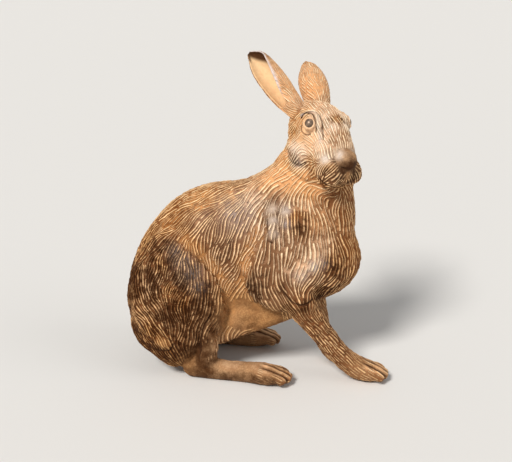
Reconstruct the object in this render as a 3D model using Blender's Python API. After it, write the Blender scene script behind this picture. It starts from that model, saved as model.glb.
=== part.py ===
"""A cast bronze hare that sits on its haunches with its forelegs straight and its head turned to its right.

The figure is cast in sections, as a foundry casts one of this size, and each section is its own object.
The torso and the head are hollow shells that open into each other at the neck. Ears, forelegs and hind
feet are cast solid, and each has a tenon that seats in a socket of its neighbour. Round pins hold the neck
sleeve and the tenons of the limbs, and their ends are filed down to the skin. Sizes are in millimetres and
are turned into metres at the end. X points where the chest faces, Y to the hare's left and Z up. The
soles stand on Z = 0, and the middle of the outer box is over the origin.
"""

import math

import bmesh
import bpy
from mathutils import Matrix, Vector

MM = 0.001
X_AXIS = Vector((1, 0, 0))
Y_AXIS = Vector((0, 1, 0))
Z_AXIS = Vector((0, 0, 1))

# Casting
WALL = 4.5
SEAM_GAP = 0.3
FIT_GAP = 0.3
PIN_RADIUS = 1.5
NECK_PIN_RADIUS = 1.2

# Mesh density
FORM_VOXEL = 1.0
FORM_ROUNDS = 5
FORM_TRIANGLES = 6500
CORE_VOXEL = 2.5
CORE_TRIANGLES = 420
RING_SIDES = 48
SWEEP_STEPS = 8

# Trunk, from the rump to the breast: x, z, half width, up, down
TRUNK = [
    (-91, 31, 3, 3, 3),
    (-88, 32, 13, 11, 11),
    (-83, 41, 25, 21, 21),
    (-70, 57, 33, 35, 35),
    (-52, 72, 33, 47, 46),
    (-30, 84, 29, 55, 55),
    (-4, 89, 27.5, 54, 54),
    (20, 92, 28, 48, 47),
    (42, 92, 29, 42, 39),
    (58, 92, 24, 37, 30.5),
    (68, 93, 17, 26, 20),
    (73, 94, 9, 13, 10),
    (75, 94.5, 2, 3, 3),
]

# Neck, from inside the breast to the head: x, z, half width, back, front
NECK = [
    (28, 84, 24, 30, 32),
    (33, 100, 28, 37, 36.5),
    (36, 119, 26, 35, 35),
    (39, 138, 23, 34, 31),
    (42, 152, 20, 31, 26.5),
    (44, 164, 18, 26, 22),
    (45, 175, 15, 22, 17),
    (45, 182, 10, 14, 11),
]

# Withers, which fill the corner between back and neck: x, z, half width, up, down
WITHERS = [
    (-34, 126, 12, 12, 14),
    (-20, 128, 15, 13.5, 24),
    (-4, 131, 17.5, 14.5, 30),
    (10, 137, 18.5, 15.5, 34),
    (20, 146, 17.5, 14, 30),
    (28, 156, 12, 10, 12),
]

# Haunch of one hind leg, from its top to the hock: x, y, z, half length, half thickness
HAUNCH = [
    (-55, 17, 108, 10, 6),
    (-56, 20, 98, 23, 13),
    (-57, 23, 82, 32, 18),
    (-57, 25.5, 62, 37, 21),
    (-57, 27.5, 42, 34, 20.5),
    (-57, 29.5, 27, 25, 18),
    (-55, 31, 15, 15, 12),
    (-53, 31.5, 8, 7, 6),
]

# Rounded front edge of the haunch, which stands out from the flank: x, y, z, half width, half depth
THIGH_EDGE = [
    (-57, 26, 96, 6, 6),
    (-48, 29, 87, 8, 8),
    (-37, 30, 75, 8.5, 8.5),
    (-31, 31, 60, 8.5, 8.5),
    (-31, 32, 44, 8, 8),
    (-35, 32, 32, 7, 7),
    (-40, 31, 24, 4, 4),
]

# Rear edge of the upper arm, from the shoulder down round the elbow: x, y, z, half width, half depth
ARM_EDGE = [
    (24, 17, 124, 5, 8),
    (19, 23.5, 114, 6, 11.5),
    (14, 26.5, 100, 6.6, 13.5),
    (9.5, 27.8, 85, 6.8, 13.5),
    (9, 28.2, 74, 6.8, 13),
    (14, 28, 66, 6.4, 11),
    (23, 26.5, 62, 6, 9),
    (32, 24, 60, 5, 7),
]

# Skin fold from the knee along the lower edge of the belly: x, y, z, half width, up, down
BELLY_FOLD = [
    (-38, 26, 34, 5, 10, 6),
    (-27, 23.5, 29, 5, 14, 6.5),
    (-12, 20.5, 35, 5, 16, 6.5),
    (6, 18.5, 42, 5, 16, 6.5),
    (22, 17, 48, 5, 14, 6),
    (36, 15, 53, 5, 10, 5),
]

# Lower leg of one hind leg, from inside the haunch down to the heel: x, y, z, half width, half depth
SHIN = [
    (-40, 30, 50, 8, 9),
    (-34, 32.5, 38, 8, 9),
    (-31.5, 34, 26, 7.2, 7.6),
    (-33, 34, 16, 7.4, 8),
    (-38, 33, 8, 6.5, 8),
]

# Hind foot, from the heel to the root of the toes: x, y, z, half width, up, down
HIND_FOOT = [
    (-51, 31.5, 8, 4, 5, 5),
    (-46, 32, 8, 7, 7.5, 8),
    (-34, 32.5, 7.5, 8, 8, 8.5),
    (-18, 33, 7, 7.8, 6.5, 8),
    (-2, 33.5, 7, 8.3, 7, 8),
    (9, 34.5, 7, 9.5, 8, 8),
    (17, 35.5, 6.5, 9.5, 7, 7),
    (22, 36, 5.5, 6, 5, 5),
]
# The left hind foot is drawn back and in by this much, and its haunch back by less
LEFT_FOOT_BACK = 18
LEFT_FOOT_IN = 5
LEFT_HAUNCH_BACK = 5

# Shoulder and upper arm, from the shoulder blade to the elbow: x, y, z, half length, half thickness
UPPER_ARM = [
    (31, 8, 138, 12, 8),
    (30, 13, 124, 22, 12.5),
    (27, 17.5, 106, 29, 14.5),
    (24, 21, 88, 29, 13.8),
    (21, 23, 74, 23, 12),
    (18, 24, 64, 13, 9.5),
]

# Forelegs, from the elbow to the root of the toes: x, y, z, half width, half depth
FORELEG_RIGHT = [
    (17, -24, 76, 11, 12),
    (29, -25, 67, 11, 12),
    (39, -24.5, 53.5, 9.5, 10.5),
    (49, -23, 39.8, 8.6, 8.6),
    (59, -20.5, 26, 7.6, 7.8),
    (68, -18.5, 15.5, 8, 8),
    (77, -17.5, 9.5, 9, 8.5),
    (86, -17, 7, 9.8, 7.5),
    (92, -17, 6, 8, 6),
]
FORELEG_LEFT = [
    (28, 22, 84, 11, 12),
    (36, 19.5, 69, 10.5, 11),
    (39.5, 16.8, 54, 9.3, 9.3),
    (43, 14, 39, 8, 8.2),
    (47, 12, 26, 7, 7.2),
    (51, 10.5, 15, 7.4, 7.2),
    (57, 10.2, 7.7, 8.2, 7),
    (63, 10, 5.2, 8.4, 6),
    (67, 9.8, 4.3, 7.2, 5),
]

# Toes of each paw: middle of the paw at their root, reach, spacing, radius, heading in degrees
FOREPAW_RIGHT = ((84.5, -17, 7), 15, 4.9, 3.6, -2)
FOREPAW_LEFT = ((62.5, 10, 5.2), 11, 4.2, 3.1, -8)
HINDPAW = ((12, 35, 7), 18.5, 4.9, 3.7, 3)

# Tail, laid against the right haunch: x, y, z, half width, half depth
TAIL = [
    (-74, -4, 56, 8, 8),
    (-83, -12, 48, 9, 8.5),
    (-86, -20, 38, 9, 8.5),
    (-82, -28, 30, 8, 7.5),
    (-75, -34, 24, 6.5, 6),
    (-68, -37, 20, 4, 4),
    (-65, -38, 19, 2, 2),
]

# Head, in its own frame: u forward, v to its left, w up, from a point between the ears and the jaw
HEAD_CENTRE = (43, -4, 182)
HEAD_YAW = -47
HEAD_PITCH = 25
HEAD_ROLL = -4
# Skull and muzzle, from the back of the skull to the lips: u, v, w, half width, up, down
SKULL = [
    (-22, 0, -3, 8, 9, 9),
    (-18, 0, -2, 13, 15, 16),
    (-10, 0, -2, 16, 20, 21),
    (0, 0, -2, 17.2, 23, 23),
    (9, 0, -3, 17, 21.5, 23),
    (18, 0, -6, 15.6, 19, 21),
    (27, 0, -10, 14.8, 16.5, 16.5),
    (34, 0, -12, 14.4, 13, 12.5),
    (39.5, 0, -12, 11, 8.5, 8),
    (43, 0, -12, 4, 3, 3),
]
# Fleshy parts of the head, one side: u, v, w, then three radii
CHEEK = (2, 9, -13, 15, 10.5, 13)
MUZZLE_PAD = (33.5, 9.3, -12, 10, 8.5, 8.8)
BROW = (6, 11.5, 11.5, 9.5, 5, 6)
CHIN = (29, 0, -20.5, 9, 9, 5.5)
NOSE = (36, 0, -0.5, 7, 7.6, 6.6)
EYE = (6.0, 15.8, 10)
EYE_RADIUS = 4.4

# Ears, from the root to the tip: u, v, w, radius, half angle of the shell, turn towards the nose
EAR_RIGHT = [
    (-14.5, -9.5, 5, 5.4, 148, 12),
    (-20, -11.5, 7.5, 6.7, 144, 12),
    (-28, -14, 9.6, 8.0, 138, 10),
    (-38, -16.8, 12.8, 9.2, 124, 7),
    (-48, -19.6, 15.8, 9.4, 110, 2),
    (-58, -21.6, 18, 8.8, 94, -6),
    (-66, -22.8, 19.2, 6.8, 74, -16),
    (-71, -23.2, 19.6, 4.2, 60, -20),
    (-73.5, -23.4, 19.8, 1.4, 55, -20),
]
EAR_LEFT = [
    (-14, 9.5, 6.5, 5.4, 148, 12),
    (-19.3, 10.3, 9.4, 7.3, 144, 12),
    (-26.6, 11.8, 11.7, 9.1, 138, 10),
    (-34.5, 14.2, 13.9, 9.9, 124, 7),
    (-42.3, 16.9, 15.5, 9.5, 110, 2),
    (-49.5, 19.8, 17, 7.8, 94, -6),
    (-55, 21.6, 18.2, 5.6, 74, -16),
    (-58.6, 22.8, 19, 3.2, 60, -20),
    (-60.2, 23.2, 19.4, 1.2, 55, -20),
]
EAR_THICKNESS = 2.0
EAR_TENON_RADIUS = 2.4
EAR_ROOT_RADIUS = 6.4

# Seams between castings. The neck seam is a sloping plane through two points of the middle plane
NECK_BACK = Vector((13, 0, 158))
NECK_FRONT = Vector((66, 0, 136))
NECK_SLEEVE = (17, 11)
# Outlines, in x and z, of the part of the figure that becomes each limb
FOREARM_SEAM = [(20, 46.5), (46, 66), (60, 52), (70, 34), (70, 20), (40, 20)]
FOREPAW_SEAM = [(34, 42), (80, 42), (112, 20), (112, -6), (38, -6)]
FOOT_SEAM = [(-43, -6), (-43, 12), (-22, 20), (36, 20), (36, -6)]


def catmull_rom(rows, steps):
    """The rows of a table with smooth rows put in between, steps to each interval."""
    smooth = []
    last = len(rows) - 1
    for i in range(last):
        before, start, end, after = rows[max(i - 1, 0)], rows[i], rows[i + 1], rows[min(i + 2, last)]
        for k in range(steps):
            t = k / steps
            smooth.append(
                tuple(
                    0.5 * (2 * b + (c - a) * t + (2 * a - 5 * b + 4 * c - d) * t * t + (3 * b - a - 3 * c + d) * t**3)
                    for a, b, c, d in zip(before, start, end, after)
                )
            )
    smooth.append(tuple(rows[-1]))
    return smooth


def sweep(bm, rows, side, inset=0.0, steps=SWEEP_STEPS, sides=RING_SIDES):
    """Adds a closed loft to bm. A row is x, y, z, half width along side, then half height up and down."""
    rows = catmull_rom(rows, steps)
    centres = [Vector(row[:3]) for row in rows]
    rings = []
    for i, row in enumerate(rows):
        tangent = (centres[min(i + 1, len(rows) - 1)] - centres[max(i - 1, 0)]).normalized()
        across = (side - side.dot(tangent) * tangent).normalized()
        upward = tangent.cross(across)
        width, up, down = (max(r - inset, 0.5) for r in row[3:6])
        ring = []
        for k in range(sides):
            angle = math.tau * k / sides
            height = up if math.sin(angle) > 0 else down
            offset = across * width * math.cos(angle) + upward * height * math.sin(angle)
            ring.append(bm.verts.new(centres[i] + offset))
        rings.append(ring)
    for ring, following in zip(rings, rings[1:]):
        for k in range(sides):
            n = (k + 1) % sides
            bm.faces.new((ring[k], ring[n], following[n], following[k]))
    bm.faces.new(rings[0])
    bm.faces.new(rings[-1])


def ball(bm, centre, radii):
    matrix = Matrix.Translation(Vector(centre)) @ Matrix.Diagonal((*radii, 1))
    bmesh.ops.create_uvsphere(bm, u_segments=24, v_segments=14, radius=1, matrix=matrix)


def spine_rows(table):
    return [(x, 0, z, side, up, down) for x, z, side, up, down in table]


def leg_rows(table, hand, back=0.0, inward=0.0):
    """Rows of a leg's table on one side: hand is 1 for the left and -1 for the right."""
    rows = []
    for row in table:
        x, y, z, *radii = row
        if len(radii) == 2:
            radii = (radii[0], radii[1], radii[1])
        rows.append((x - back, hand * (y - inward), z, *radii))
    return rows


def head_frame():
    """The matrix from the head's own frame to the figure's, in millimetres."""
    yaw = Matrix.Rotation(math.radians(HEAD_YAW), 4, "Z")
    pitch = Matrix.Rotation(math.radians(HEAD_PITCH), 4, "Y")
    roll = Matrix.Rotation(math.radians(HEAD_ROLL), 4, "X")
    return Matrix.Translation(Vector(HEAD_CENTRE)) @ yaw @ pitch @ roll


def toes(bm, root, reach, spacing, radius, heading):
    """Adds four toes that fan out from root."""
    heading = math.radians(heading)
    ahead = Vector((math.cos(heading), math.sin(heading), 0))
    aside = Vector((-math.sin(heading), math.cos(heading), 0))
    for k in (-1.5, -0.5, 0.5, 1.5):
        length = reach * (1.08 - 0.16 * abs(k))
        start = Vector(root) + aside * k * spacing * 0.8
        end = start + ahead * length + aside * k * spacing * 0.22
        rows = [
            (*start, radius * 0.8, radius * 0.8, radius),
            (*(start.lerp(end, 0.45) + Z_AXIS * 1.0), radius, radius, radius * 1.1),
            (*(start.lerp(end, 0.8) - Z_AXIS * 1.2), radius, radius * 0.95, radius),
            (*(end - Z_AXIS * 2.6), radius * 0.6, radius * 0.6, radius * 0.6),
        ]
        sweep(bm, rows, aside, steps=3, sides=14)


def add_head(bm, inset=0.0):
    """Adds the skull and the fleshy parts of the head, in the figure's frame."""
    head = bmesh.new()
    sweep(head, SKULL, Y_AXIS, inset)
    if not inset:
        for hand in (-1, 1):
            for u, v, w, *radii in (CHEEK, MUZZLE_PAD, BROW):
                ball(head, (u, hand * v, w), radii)
        ball(head, CHIN[:3], CHIN[3:])
        ball(head, NOSE[:3], NOSE[3:])
    head.transform(head_frame())
    mesh = bpy.data.meshes.new("head")
    head.to_mesh(mesh)
    head.free()
    bm.from_mesh(mesh)
    bpy.data.meshes.remove(mesh)


def figure_form(bm):
    """The whole figure but for its ears, eyes and fastenings."""
    sweep(bm, spine_rows(TRUNK), Y_AXIS)
    sweep(bm, spine_rows(NECK), Y_AXIS)
    sweep(bm, spine_rows(WITHERS), Y_AXIS)
    add_head(bm)
    for hand in (-1, 1):
        foot_back = LEFT_FOOT_BACK if hand > 0 else 0
        foot_in = LEFT_FOOT_IN if hand > 0 else 0
        haunch_back = LEFT_HAUNCH_BACK if hand > 0 else 0
        sweep(bm, leg_rows(HAUNCH, hand, haunch_back), X_AXIS)
        sweep(bm, leg_rows(SHIN, hand, foot_back, foot_in), X_AXIS)
        sweep(bm, leg_rows(HIND_FOOT, hand, foot_back, foot_in), Y_AXIS)
        root, reach, spacing, radius, heading = HINDPAW
        root = (root[0] - foot_back, hand * (root[1] - foot_in), root[2])
        toes(bm, root, reach, spacing, radius, hand * heading)
        sweep(bm, leg_rows(UPPER_ARM, hand), X_AXIS)
        sweep(bm, leg_rows(THIGH_EDGE, hand, haunch_back), Y_AXIS)
        sweep(bm, leg_rows(ARM_EDGE, hand), Y_AXIS)
        sweep(bm, leg_rows(BELLY_FOLD, hand), Y_AXIS)
    sweep(bm, leg_rows(FORELEG_RIGHT, 1), Y_AXIS)
    sweep(bm, leg_rows(FORELEG_LEFT, 1), Y_AXIS)
    toes(bm, *FOREPAW_RIGHT)
    toes(bm, *FOREPAW_LEFT)
    sweep(bm, leg_rows(TAIL, 1), Y_AXIS)


def linked(name, mesh):
    obj = bpy.data.objects.new(name, mesh)
    bpy.context.scene.collection.objects.link(obj)
    return obj


def solid(name, bm):
    bmesh.ops.recalc_face_normals(bm, faces=bm.faces)
    mesh = bpy.data.meshes.new(name)
    bm.to_mesh(mesh)
    bm.free()
    return linked(name, mesh)


def settled(obj):
    """Replaces an object's mesh with what its modifiers make of it."""
    graph = bpy.context.evaluated_depsgraph_get()
    mesh = bpy.data.meshes.new_from_object(obj.evaluated_get(graph))
    old = obj.data
    obj.modifiers.clear()
    obj.data = mesh
    bpy.data.meshes.remove(old)
    return obj


def skinned(obj, voxel, rounds, triangles, grow=0.0):
    """Turns overlapping volumes into one closed skin with softened creases."""
    remesh = obj.modifiers.new("skin", "REMESH")
    remesh.mode = "VOXEL"
    remesh.voxel_size = voxel
    if rounds:
        soften = obj.modifiers.new("soften", "SMOOTH")
        soften.factor = 0.5
        soften.iterations = rounds
    if grow:
        swell = obj.modifiers.new("swell", "DISPLACE")
        swell.mid_level = 0
        swell.strength = grow
    settled(obj)
    thin = obj.modifiers.new("thin", "DECIMATE")
    thin.ratio = min(1.0, triangles / (2 * len(obj.data.polygons)))
    return settled(obj)


def twin(obj, name):
    return linked(name, obj.data.copy())


def combine(obj, other, operation):
    """Cuts with, adds or keeps only the other solid, which stays as it is."""
    step = obj.modifiers.new(operation.lower(), "BOOLEAN")
    step.operation = operation
    step.solver = "EXACT"
    step.object = other
    return settled(obj)


def cut(obj, other):
    return combine(obj, other, "DIFFERENCE")


def join(obj, other):
    return combine(obj, other, "UNION")


def keep(obj, other):
    return combine(obj, other, "INTERSECT")


def discard(*objects):
    for obj in objects:
        mesh = obj.data
        bpy.data.objects.remove(obj)
        bpy.data.meshes.remove(mesh)


def drum(name, start, end, radius, sides=20, end_radius=None):
    """A round bar or cone from start to end."""
    start = Vector(start)
    axis = Vector(end) - start
    bm = bmesh.new()
    tip = radius if end_radius is None else end_radius
    bmesh.ops.create_cone(
        bm, cap_ends=True, segments=sides, radius1=radius, radius2=tip, depth=axis.length,
        matrix=Matrix.Translation(start + axis / 2) @ axis.to_track_quat("Z", "Y").to_matrix().to_4x4(),
    )
    return solid(name, bm)


def block(name, low, high, matrix=None):
    bm = bmesh.new()
    bmesh.ops.create_cube(bm, size=1)
    size = [b - a for a, b in zip(low, high)]
    middle = [(a + b) / 2 for a, b in zip(low, high)]
    bm.transform(Matrix.Translation(Vector(middle)) @ Matrix.Diagonal((*size, 1)))
    if matrix is not None:
        bm.transform(matrix)
    return solid(name, bm)


def grown_outline(outline, grow):
    """The corners of a counter-clockwise or clockwise outline, moved outward by grow."""
    count = len(outline)
    area = sum(
        outline[i][0] * outline[(i + 1) % count][1] - outline[(i + 1) % count][0] * outline[i][1]
        for i in range(count)
    )
    sign = 1 if area > 0 else -1
    moved = []
    for i in range(count):
        here = Vector(outline[i])
        before = (here - Vector(outline[i - 1])).normalized()
        after = (Vector(outline[(i + 1) % count]) - here).normalized()
        first = Vector((before.y, -before.x)) * sign
        second = Vector((after.y, -after.x)) * sign
        bisector = (first + second).normalized()
        moved.append(here + bisector * grow / bisector.dot(first))
    return moved


def prism(name, outline, near, far, grow=0.0):
    """A solid with an outline in x and z that runs from y = near to y = far."""
    bm = bmesh.new()
    corners = grown_outline(outline, grow)
    front = [bm.verts.new((x, near - grow, z)) for x, z in corners]
    back = [bm.verts.new((x, far + grow, z)) for x, z in corners]
    bm.faces.new(front)
    bm.faces.new(back)
    for i in range(len(corners)):
        n = (i + 1) % len(corners)
        bm.faces.new((front[i], front[n], back[n], back[i]))
    return solid(name, bm)


def neck_frame():
    """X runs down the neck seam from back to front, Z out of the neck towards the head."""
    along = (NECK_FRONT - NECK_BACK).normalized()
    out = along.cross(Y_AXIS)
    turn = Matrix((along, Y_AXIS, out)).transposed().to_4x4()
    return Matrix.Translation((NECK_BACK + NECK_FRONT) / 2) @ turn


def oval_bar(name, low, high, grow=0.0):
    """An oval bar along the neck's own axis, for its sleeve and bore."""
    bm = bmesh.new()
    bmesh.ops.create_cone(bm, cap_ends=True, segments=32, radius1=1, radius2=1, depth=1)
    size = (NECK_SLEEVE[0] + grow, NECK_SLEEVE[1] + grow, high - low, 1)
    bm.transform(neck_frame() @ Matrix.Translation((0, 0, (low + high) / 2)) @ Matrix.Diagonal(size))
    return solid(name, bm)


def figure_skin():
    bm = bmesh.new()
    figure_form(bm)
    figure = skinned(solid("figure", bm), FORM_VOXEL, FORM_ROUNDS, FORM_TRIANGLES)
    # The floor cuts the soles flat
    floor = block("floor", (-150, -80, -20), (150, 80, 0))
    cut(figure, floor)
    discard(floor)
    return figure


# The cavity in the trunk and neck, and the one in the head
TRUNK_CORE = [
    (-74, 62, 14, 14, 12),
    (-64, 66, 24, 28, 22),
    (-48, 76, 27, 40, 36),
    (-28, 84, 24, 49, 44),
    (-4, 88, 22.5, 48, 44),
    (20, 94, 23, 42, 34),
    (42, 98, 22, 32, 24),
    (58, 100, 14, 20, 14),
]
NECK_CORE = [
    (34, 96, 20, 24, 26),
    (36, 112, 19, 24, 26),
    (38, 126, 17, 23, 23),
    (40, 142, 14, 22, 20),
    (42, 152, 14, 20, 19),
    (43, 162, 13, 18, 16),
    (44, 172, 11, 15, 13),
]
HAUNCH_CORE = [
    (-57, 19, 95, 14, 7),
    (-58, 22, 82, 23, 11),
    (-59, 24, 64, 28, 14),
    (-60, 25.5, 49, 24, 12),
    (-59, 27, 38, 11, 7),
]
SKULL_CORE = [
    (-15, 0, -3, 8, 9, 9),
    (-8, 0, -3, 11, 14, 15),
    (2, 0, -4, 12, 17, 17),
    (12, 0, -6, 11, 15, 16),
    (21, 0, -9, 9, 11, 13),
    (28, 0, -11, 6, 7, 8),
]


def body_core():
    bm = bmesh.new()
    sweep(bm, spine_rows(TRUNK_CORE), Y_AXIS)
    sweep(bm, spine_rows(NECK_CORE), Y_AXIS)
    for hand in (-1, 1):
        sweep(bm, leg_rows(HAUNCH_CORE, hand, LEFT_HAUNCH_BACK if hand > 0 else 0), X_AXIS)
    return skinned(solid("body_core", bm), CORE_VOXEL, 3, CORE_TRIANGLES)


def head_core():
    bm = bmesh.new()
    sweep(bm, spine_rows(NECK_CORE), Y_AXIS)
    head = bmesh.new()
    sweep(head, SKULL_CORE, Y_AXIS)
    head.transform(head_frame())
    mesh = bpy.data.meshes.new("skull_core")
    head.to_mesh(mesh)
    head.free()
    bm.from_mesh(mesh)
    bpy.data.meshes.remove(mesh)
    return skinned(solid("head_core", bm), CORE_VOXEL, 3, CORE_TRIANGLES // 2)


def pin(name, start, end, radius=PIN_RADIUS):
    return drum(name, start, end, radius, sides=12)


def pin_hole(start, end, radius=PIN_RADIUS):
    """The hole for a pin: wider by the fit, and deeper by it at the end."""
    start = Vector(start)
    end = Vector(end)
    run = (end - start).normalized()
    return drum("hole", start - run * 4, end + run * FIT_GAP, radius + FIT_GAP, sides=12)


def region_of(outlines, grow=0.0):
    """One solid from the prisms of all the outlines."""
    prisms = [prism("region", outline, near, far, grow) for outline, near, far in outlines]
    for other in prisms[1:]:
        join(prisms[0], other)
    discard(*prisms[1:])
    return prisms[0]


def limb(name, figure, outlines, tenon_start, tenon_end, tenon_radius):
    """Keeps the limb's part of the figure and gives it a tenon."""
    region = region_of(outlines)
    obj = keep(twin(figure, name), region)
    tenon = drum("tenon", tenon_start, tenon_end, tenon_radius, sides=18)
    join(obj, tenon)
    discard(region, tenon)
    return obj


def free_for_limb(body, outlines, tenon_start, tenon_end, tenon_radius):
    """Takes the limb's part, with the seam gap, and its tenon's socket out of the body."""
    region = region_of(outlines, SEAM_GAP)
    cut(body, region)
    start = Vector(tenon_start)
    end = Vector(tenon_end)
    run = (end - start).normalized()
    socket = drum("socket", start - run, end + run * FIT_GAP, tenon_radius + FIT_GAP, sides=18)
    cut(body, socket)
    discard(region, socket)


def ear_shell(name, rows):
    """An open shell that is curled round the ear's own axis, with its opening towards the side."""
    hand = 1 if rows[0][1] > 0 else -1
    frame = head_frame()
    rows = catmull_rom(rows, 3)
    bm = bmesh.new()
    lines = []
    columns = 14
    for i, (u, v, w, radius, half_angle, turn) in enumerate(rows):
        here = Vector((u, v, w))
        before = Vector(rows[max(i - 1, 0)][:3])
        after = Vector(rows[min(i + 1, len(rows) - 1)][:3])
        along = (after - before).normalized()
        lateral = Vector((0, hand, 0))
        lateral = (lateral - lateral.dot(along) * along).normalized()
        ahead = lateral.cross(along) * -hand
        if ahead.z < 0:
            ahead = -ahead
        line = []
        for k in range(columns + 1):
            angle = math.radians(turn + half_angle * (2 * k / columns - 1))
            offset = -math.cos(angle) * lateral + math.sin(angle) * ahead
            line.append(bm.verts.new(frame @ (here + offset * radius)))
        lines.append(line)
    for line, following in zip(lines, lines[1:]):
        for k in range(columns):
            bm.faces.new((line[k], line[k + 1], following[k + 1], following[k]))
    bmesh.ops.recalc_face_normals(bm, faces=bm.faces)
    shell = solid(name, bm)
    thicken = shell.modifiers.new("thicken", "SOLIDIFY")
    thicken.thickness = EAR_THICKNESS
    thicken.offset = 0
    return settled(shell)


def ear(name, rows, grown_head):
    """An ear with a solid root that is fitted to the head, and a tenon."""
    shell = ear_shell(name, rows)
    frame = head_frame()
    root = [frame @ Vector(rows[i][:3]) for i in (0, 1, 2)]
    into = (root[0] - root[1]).normalized()
    bm = bmesh.new()
    bm.from_mesh(shell.data)
    low = root[0] + into * 4
    high = root[1].lerp(root[2], 0.5)
    axis = high - low
    bmesh.ops.create_cone(
        bm, cap_ends=True, segments=20, radius1=EAR_ROOT_RADIUS, radius2=EAR_ROOT_RADIUS, depth=axis.length,
        matrix=Matrix.Translation((low + high) / 2) @ axis.to_track_quat("Z", "Y").to_matrix().to_4x4(),
    )
    discard(shell)
    obj = skinned(solid(name, bm), 0.55, 3, 560)
    cut(obj, grown_head)
    tenon = drum("tenon", root[1], root[0] + into * 9, EAR_TENON_RADIUS, sides=14)
    join(obj, tenon)
    discard(tenon)
    return obj


def ear_socket(rows):
    frame = head_frame()
    start = frame @ Vector(rows[1][:3])
    end = frame @ Vector(rows[0][:3])
    into = (end - start).normalized()
    return drum("socket", start, end + into * (9 + FIT_GAP), EAR_TENON_RADIUS + FIT_GAP, sides=14)


def bead(name, centre, radius):
    bm = bmesh.new()
    matrix = Matrix.Translation(Vector(centre))
    bmesh.ops.create_uvsphere(bm, u_segments=16, v_segments=9, radius=radius, matrix=matrix)
    return solid(name, bm)


# Limbs: the outlines of their regions with their y ranges, then where the tenon starts and ends, and its radius
LIMBS = {
    "foreleg_right": (
        [(FOREARM_SEAM, -60, -13), (FOREPAW_SEAM, -60, -4.8)], (36, -24.5, 58), (27, -24, 70), 4.5,
    ),
    "foreleg_left": (
        [(FOREARM_SEAM, 6.5, 60), (FOREPAW_SEAM, -4.4, 60)], (38.4, 17.2, 57), (35.6, 19.6, 69), 4.5,
    ),
    "hind_foot_right": ([(FOOT_SEAM, -60, -8)], (-33.5, -34, 14), (-34, -33, 29), 3.8),
    "hind_foot_left": (
        [([(x - LEFT_FOOT_BACK, z) for x, z in FOOT_SEAM], 8, 60)], (-51.5, 29, 14), (-52, 28, 29), 3.8,
    ),
}
# Cross pins of the limbs: a point on the tenon's axis, then the way out to the skin
LIMB_PINS = {
    "foreleg_right": ((33.6, -24.4, 61.2), (-0.8, 0, -0.6)),
    "foreleg_left": ((37.2, 18.3, 63.6), (0, 1, 0)),
    "hind_foot_right": ((-33.8, -33.5, 23), (0, 1, 0)),
    "hind_foot_left": ((-51.8, 28.5, 23), (0, -1, 0)),
}
PIN_BEYOND = 8

# Looks of the castings: base colour, roughness and metallic value
BROWN_BRONZE = ((0.23, 0.145, 0.085), 0.42, 0.85)
OCHRE_BRONZE = ((0.42, 0.26, 0.14), 0.5, 0.75)
DARK_BRONZE = ((0.05, 0.038, 0.03), 0.25, 0.9)
BARE_BRONZE = ((0.55, 0.38, 0.2), 0.35, 1.0)
LOOKS = {
    "body_shell": BROWN_BRONZE,
    "head_shell": BROWN_BRONZE,
    "ear_right": OCHRE_BRONZE,
    "ear_left": OCHRE_BRONZE,
    "eye_right": DARK_BRONZE,
    "eye_left": DARK_BRONZE,
    "foreleg_right": OCHRE_BRONZE,
    "foreleg_left": OCHRE_BRONZE,
    "hind_foot_right": OCHRE_BRONZE,
    "hind_foot_left": OCHRE_BRONZE,
}


def patinated(obj):
    colour, roughness, metallic = LOOKS.get(obj.name, BARE_BRONZE)
    material = bpy.data.materials.new(obj.name)
    material.use_nodes = True
    shader = material.node_tree.nodes["Principled BSDF"]
    shader.inputs["Base Color"].default_value = (*colour, 1)
    shader.inputs["Roughness"].default_value = roughness
    shader.inputs["Metallic"].default_value = metallic
    material.diffuse_color = (*colour, 1)
    obj.data.materials.clear()
    obj.data.materials.append(material)


def way_out(obj, inside, direction):
    """Where a line from inside the solid leaves its skin."""
    hit, place, normal, face = obj.ray_cast(Vector(inside), Vector(direction).normalized())
    return place if hit else Vector(inside) + Vector(direction).normalized() * 10


def placed(obj, origin, middle):
    """Moves an object's own origin to a point of its joint, and the object to its place in metres."""
    obj.data.transform(Matrix.Scale(MM, 4) @ Matrix.Translation(-Vector(origin)))
    obj.data.shade_smooth()
    obj.data.set_sharp_from_angle(angle=math.radians(32))
    obj.location = (Vector(origin) - middle) * MM


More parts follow.
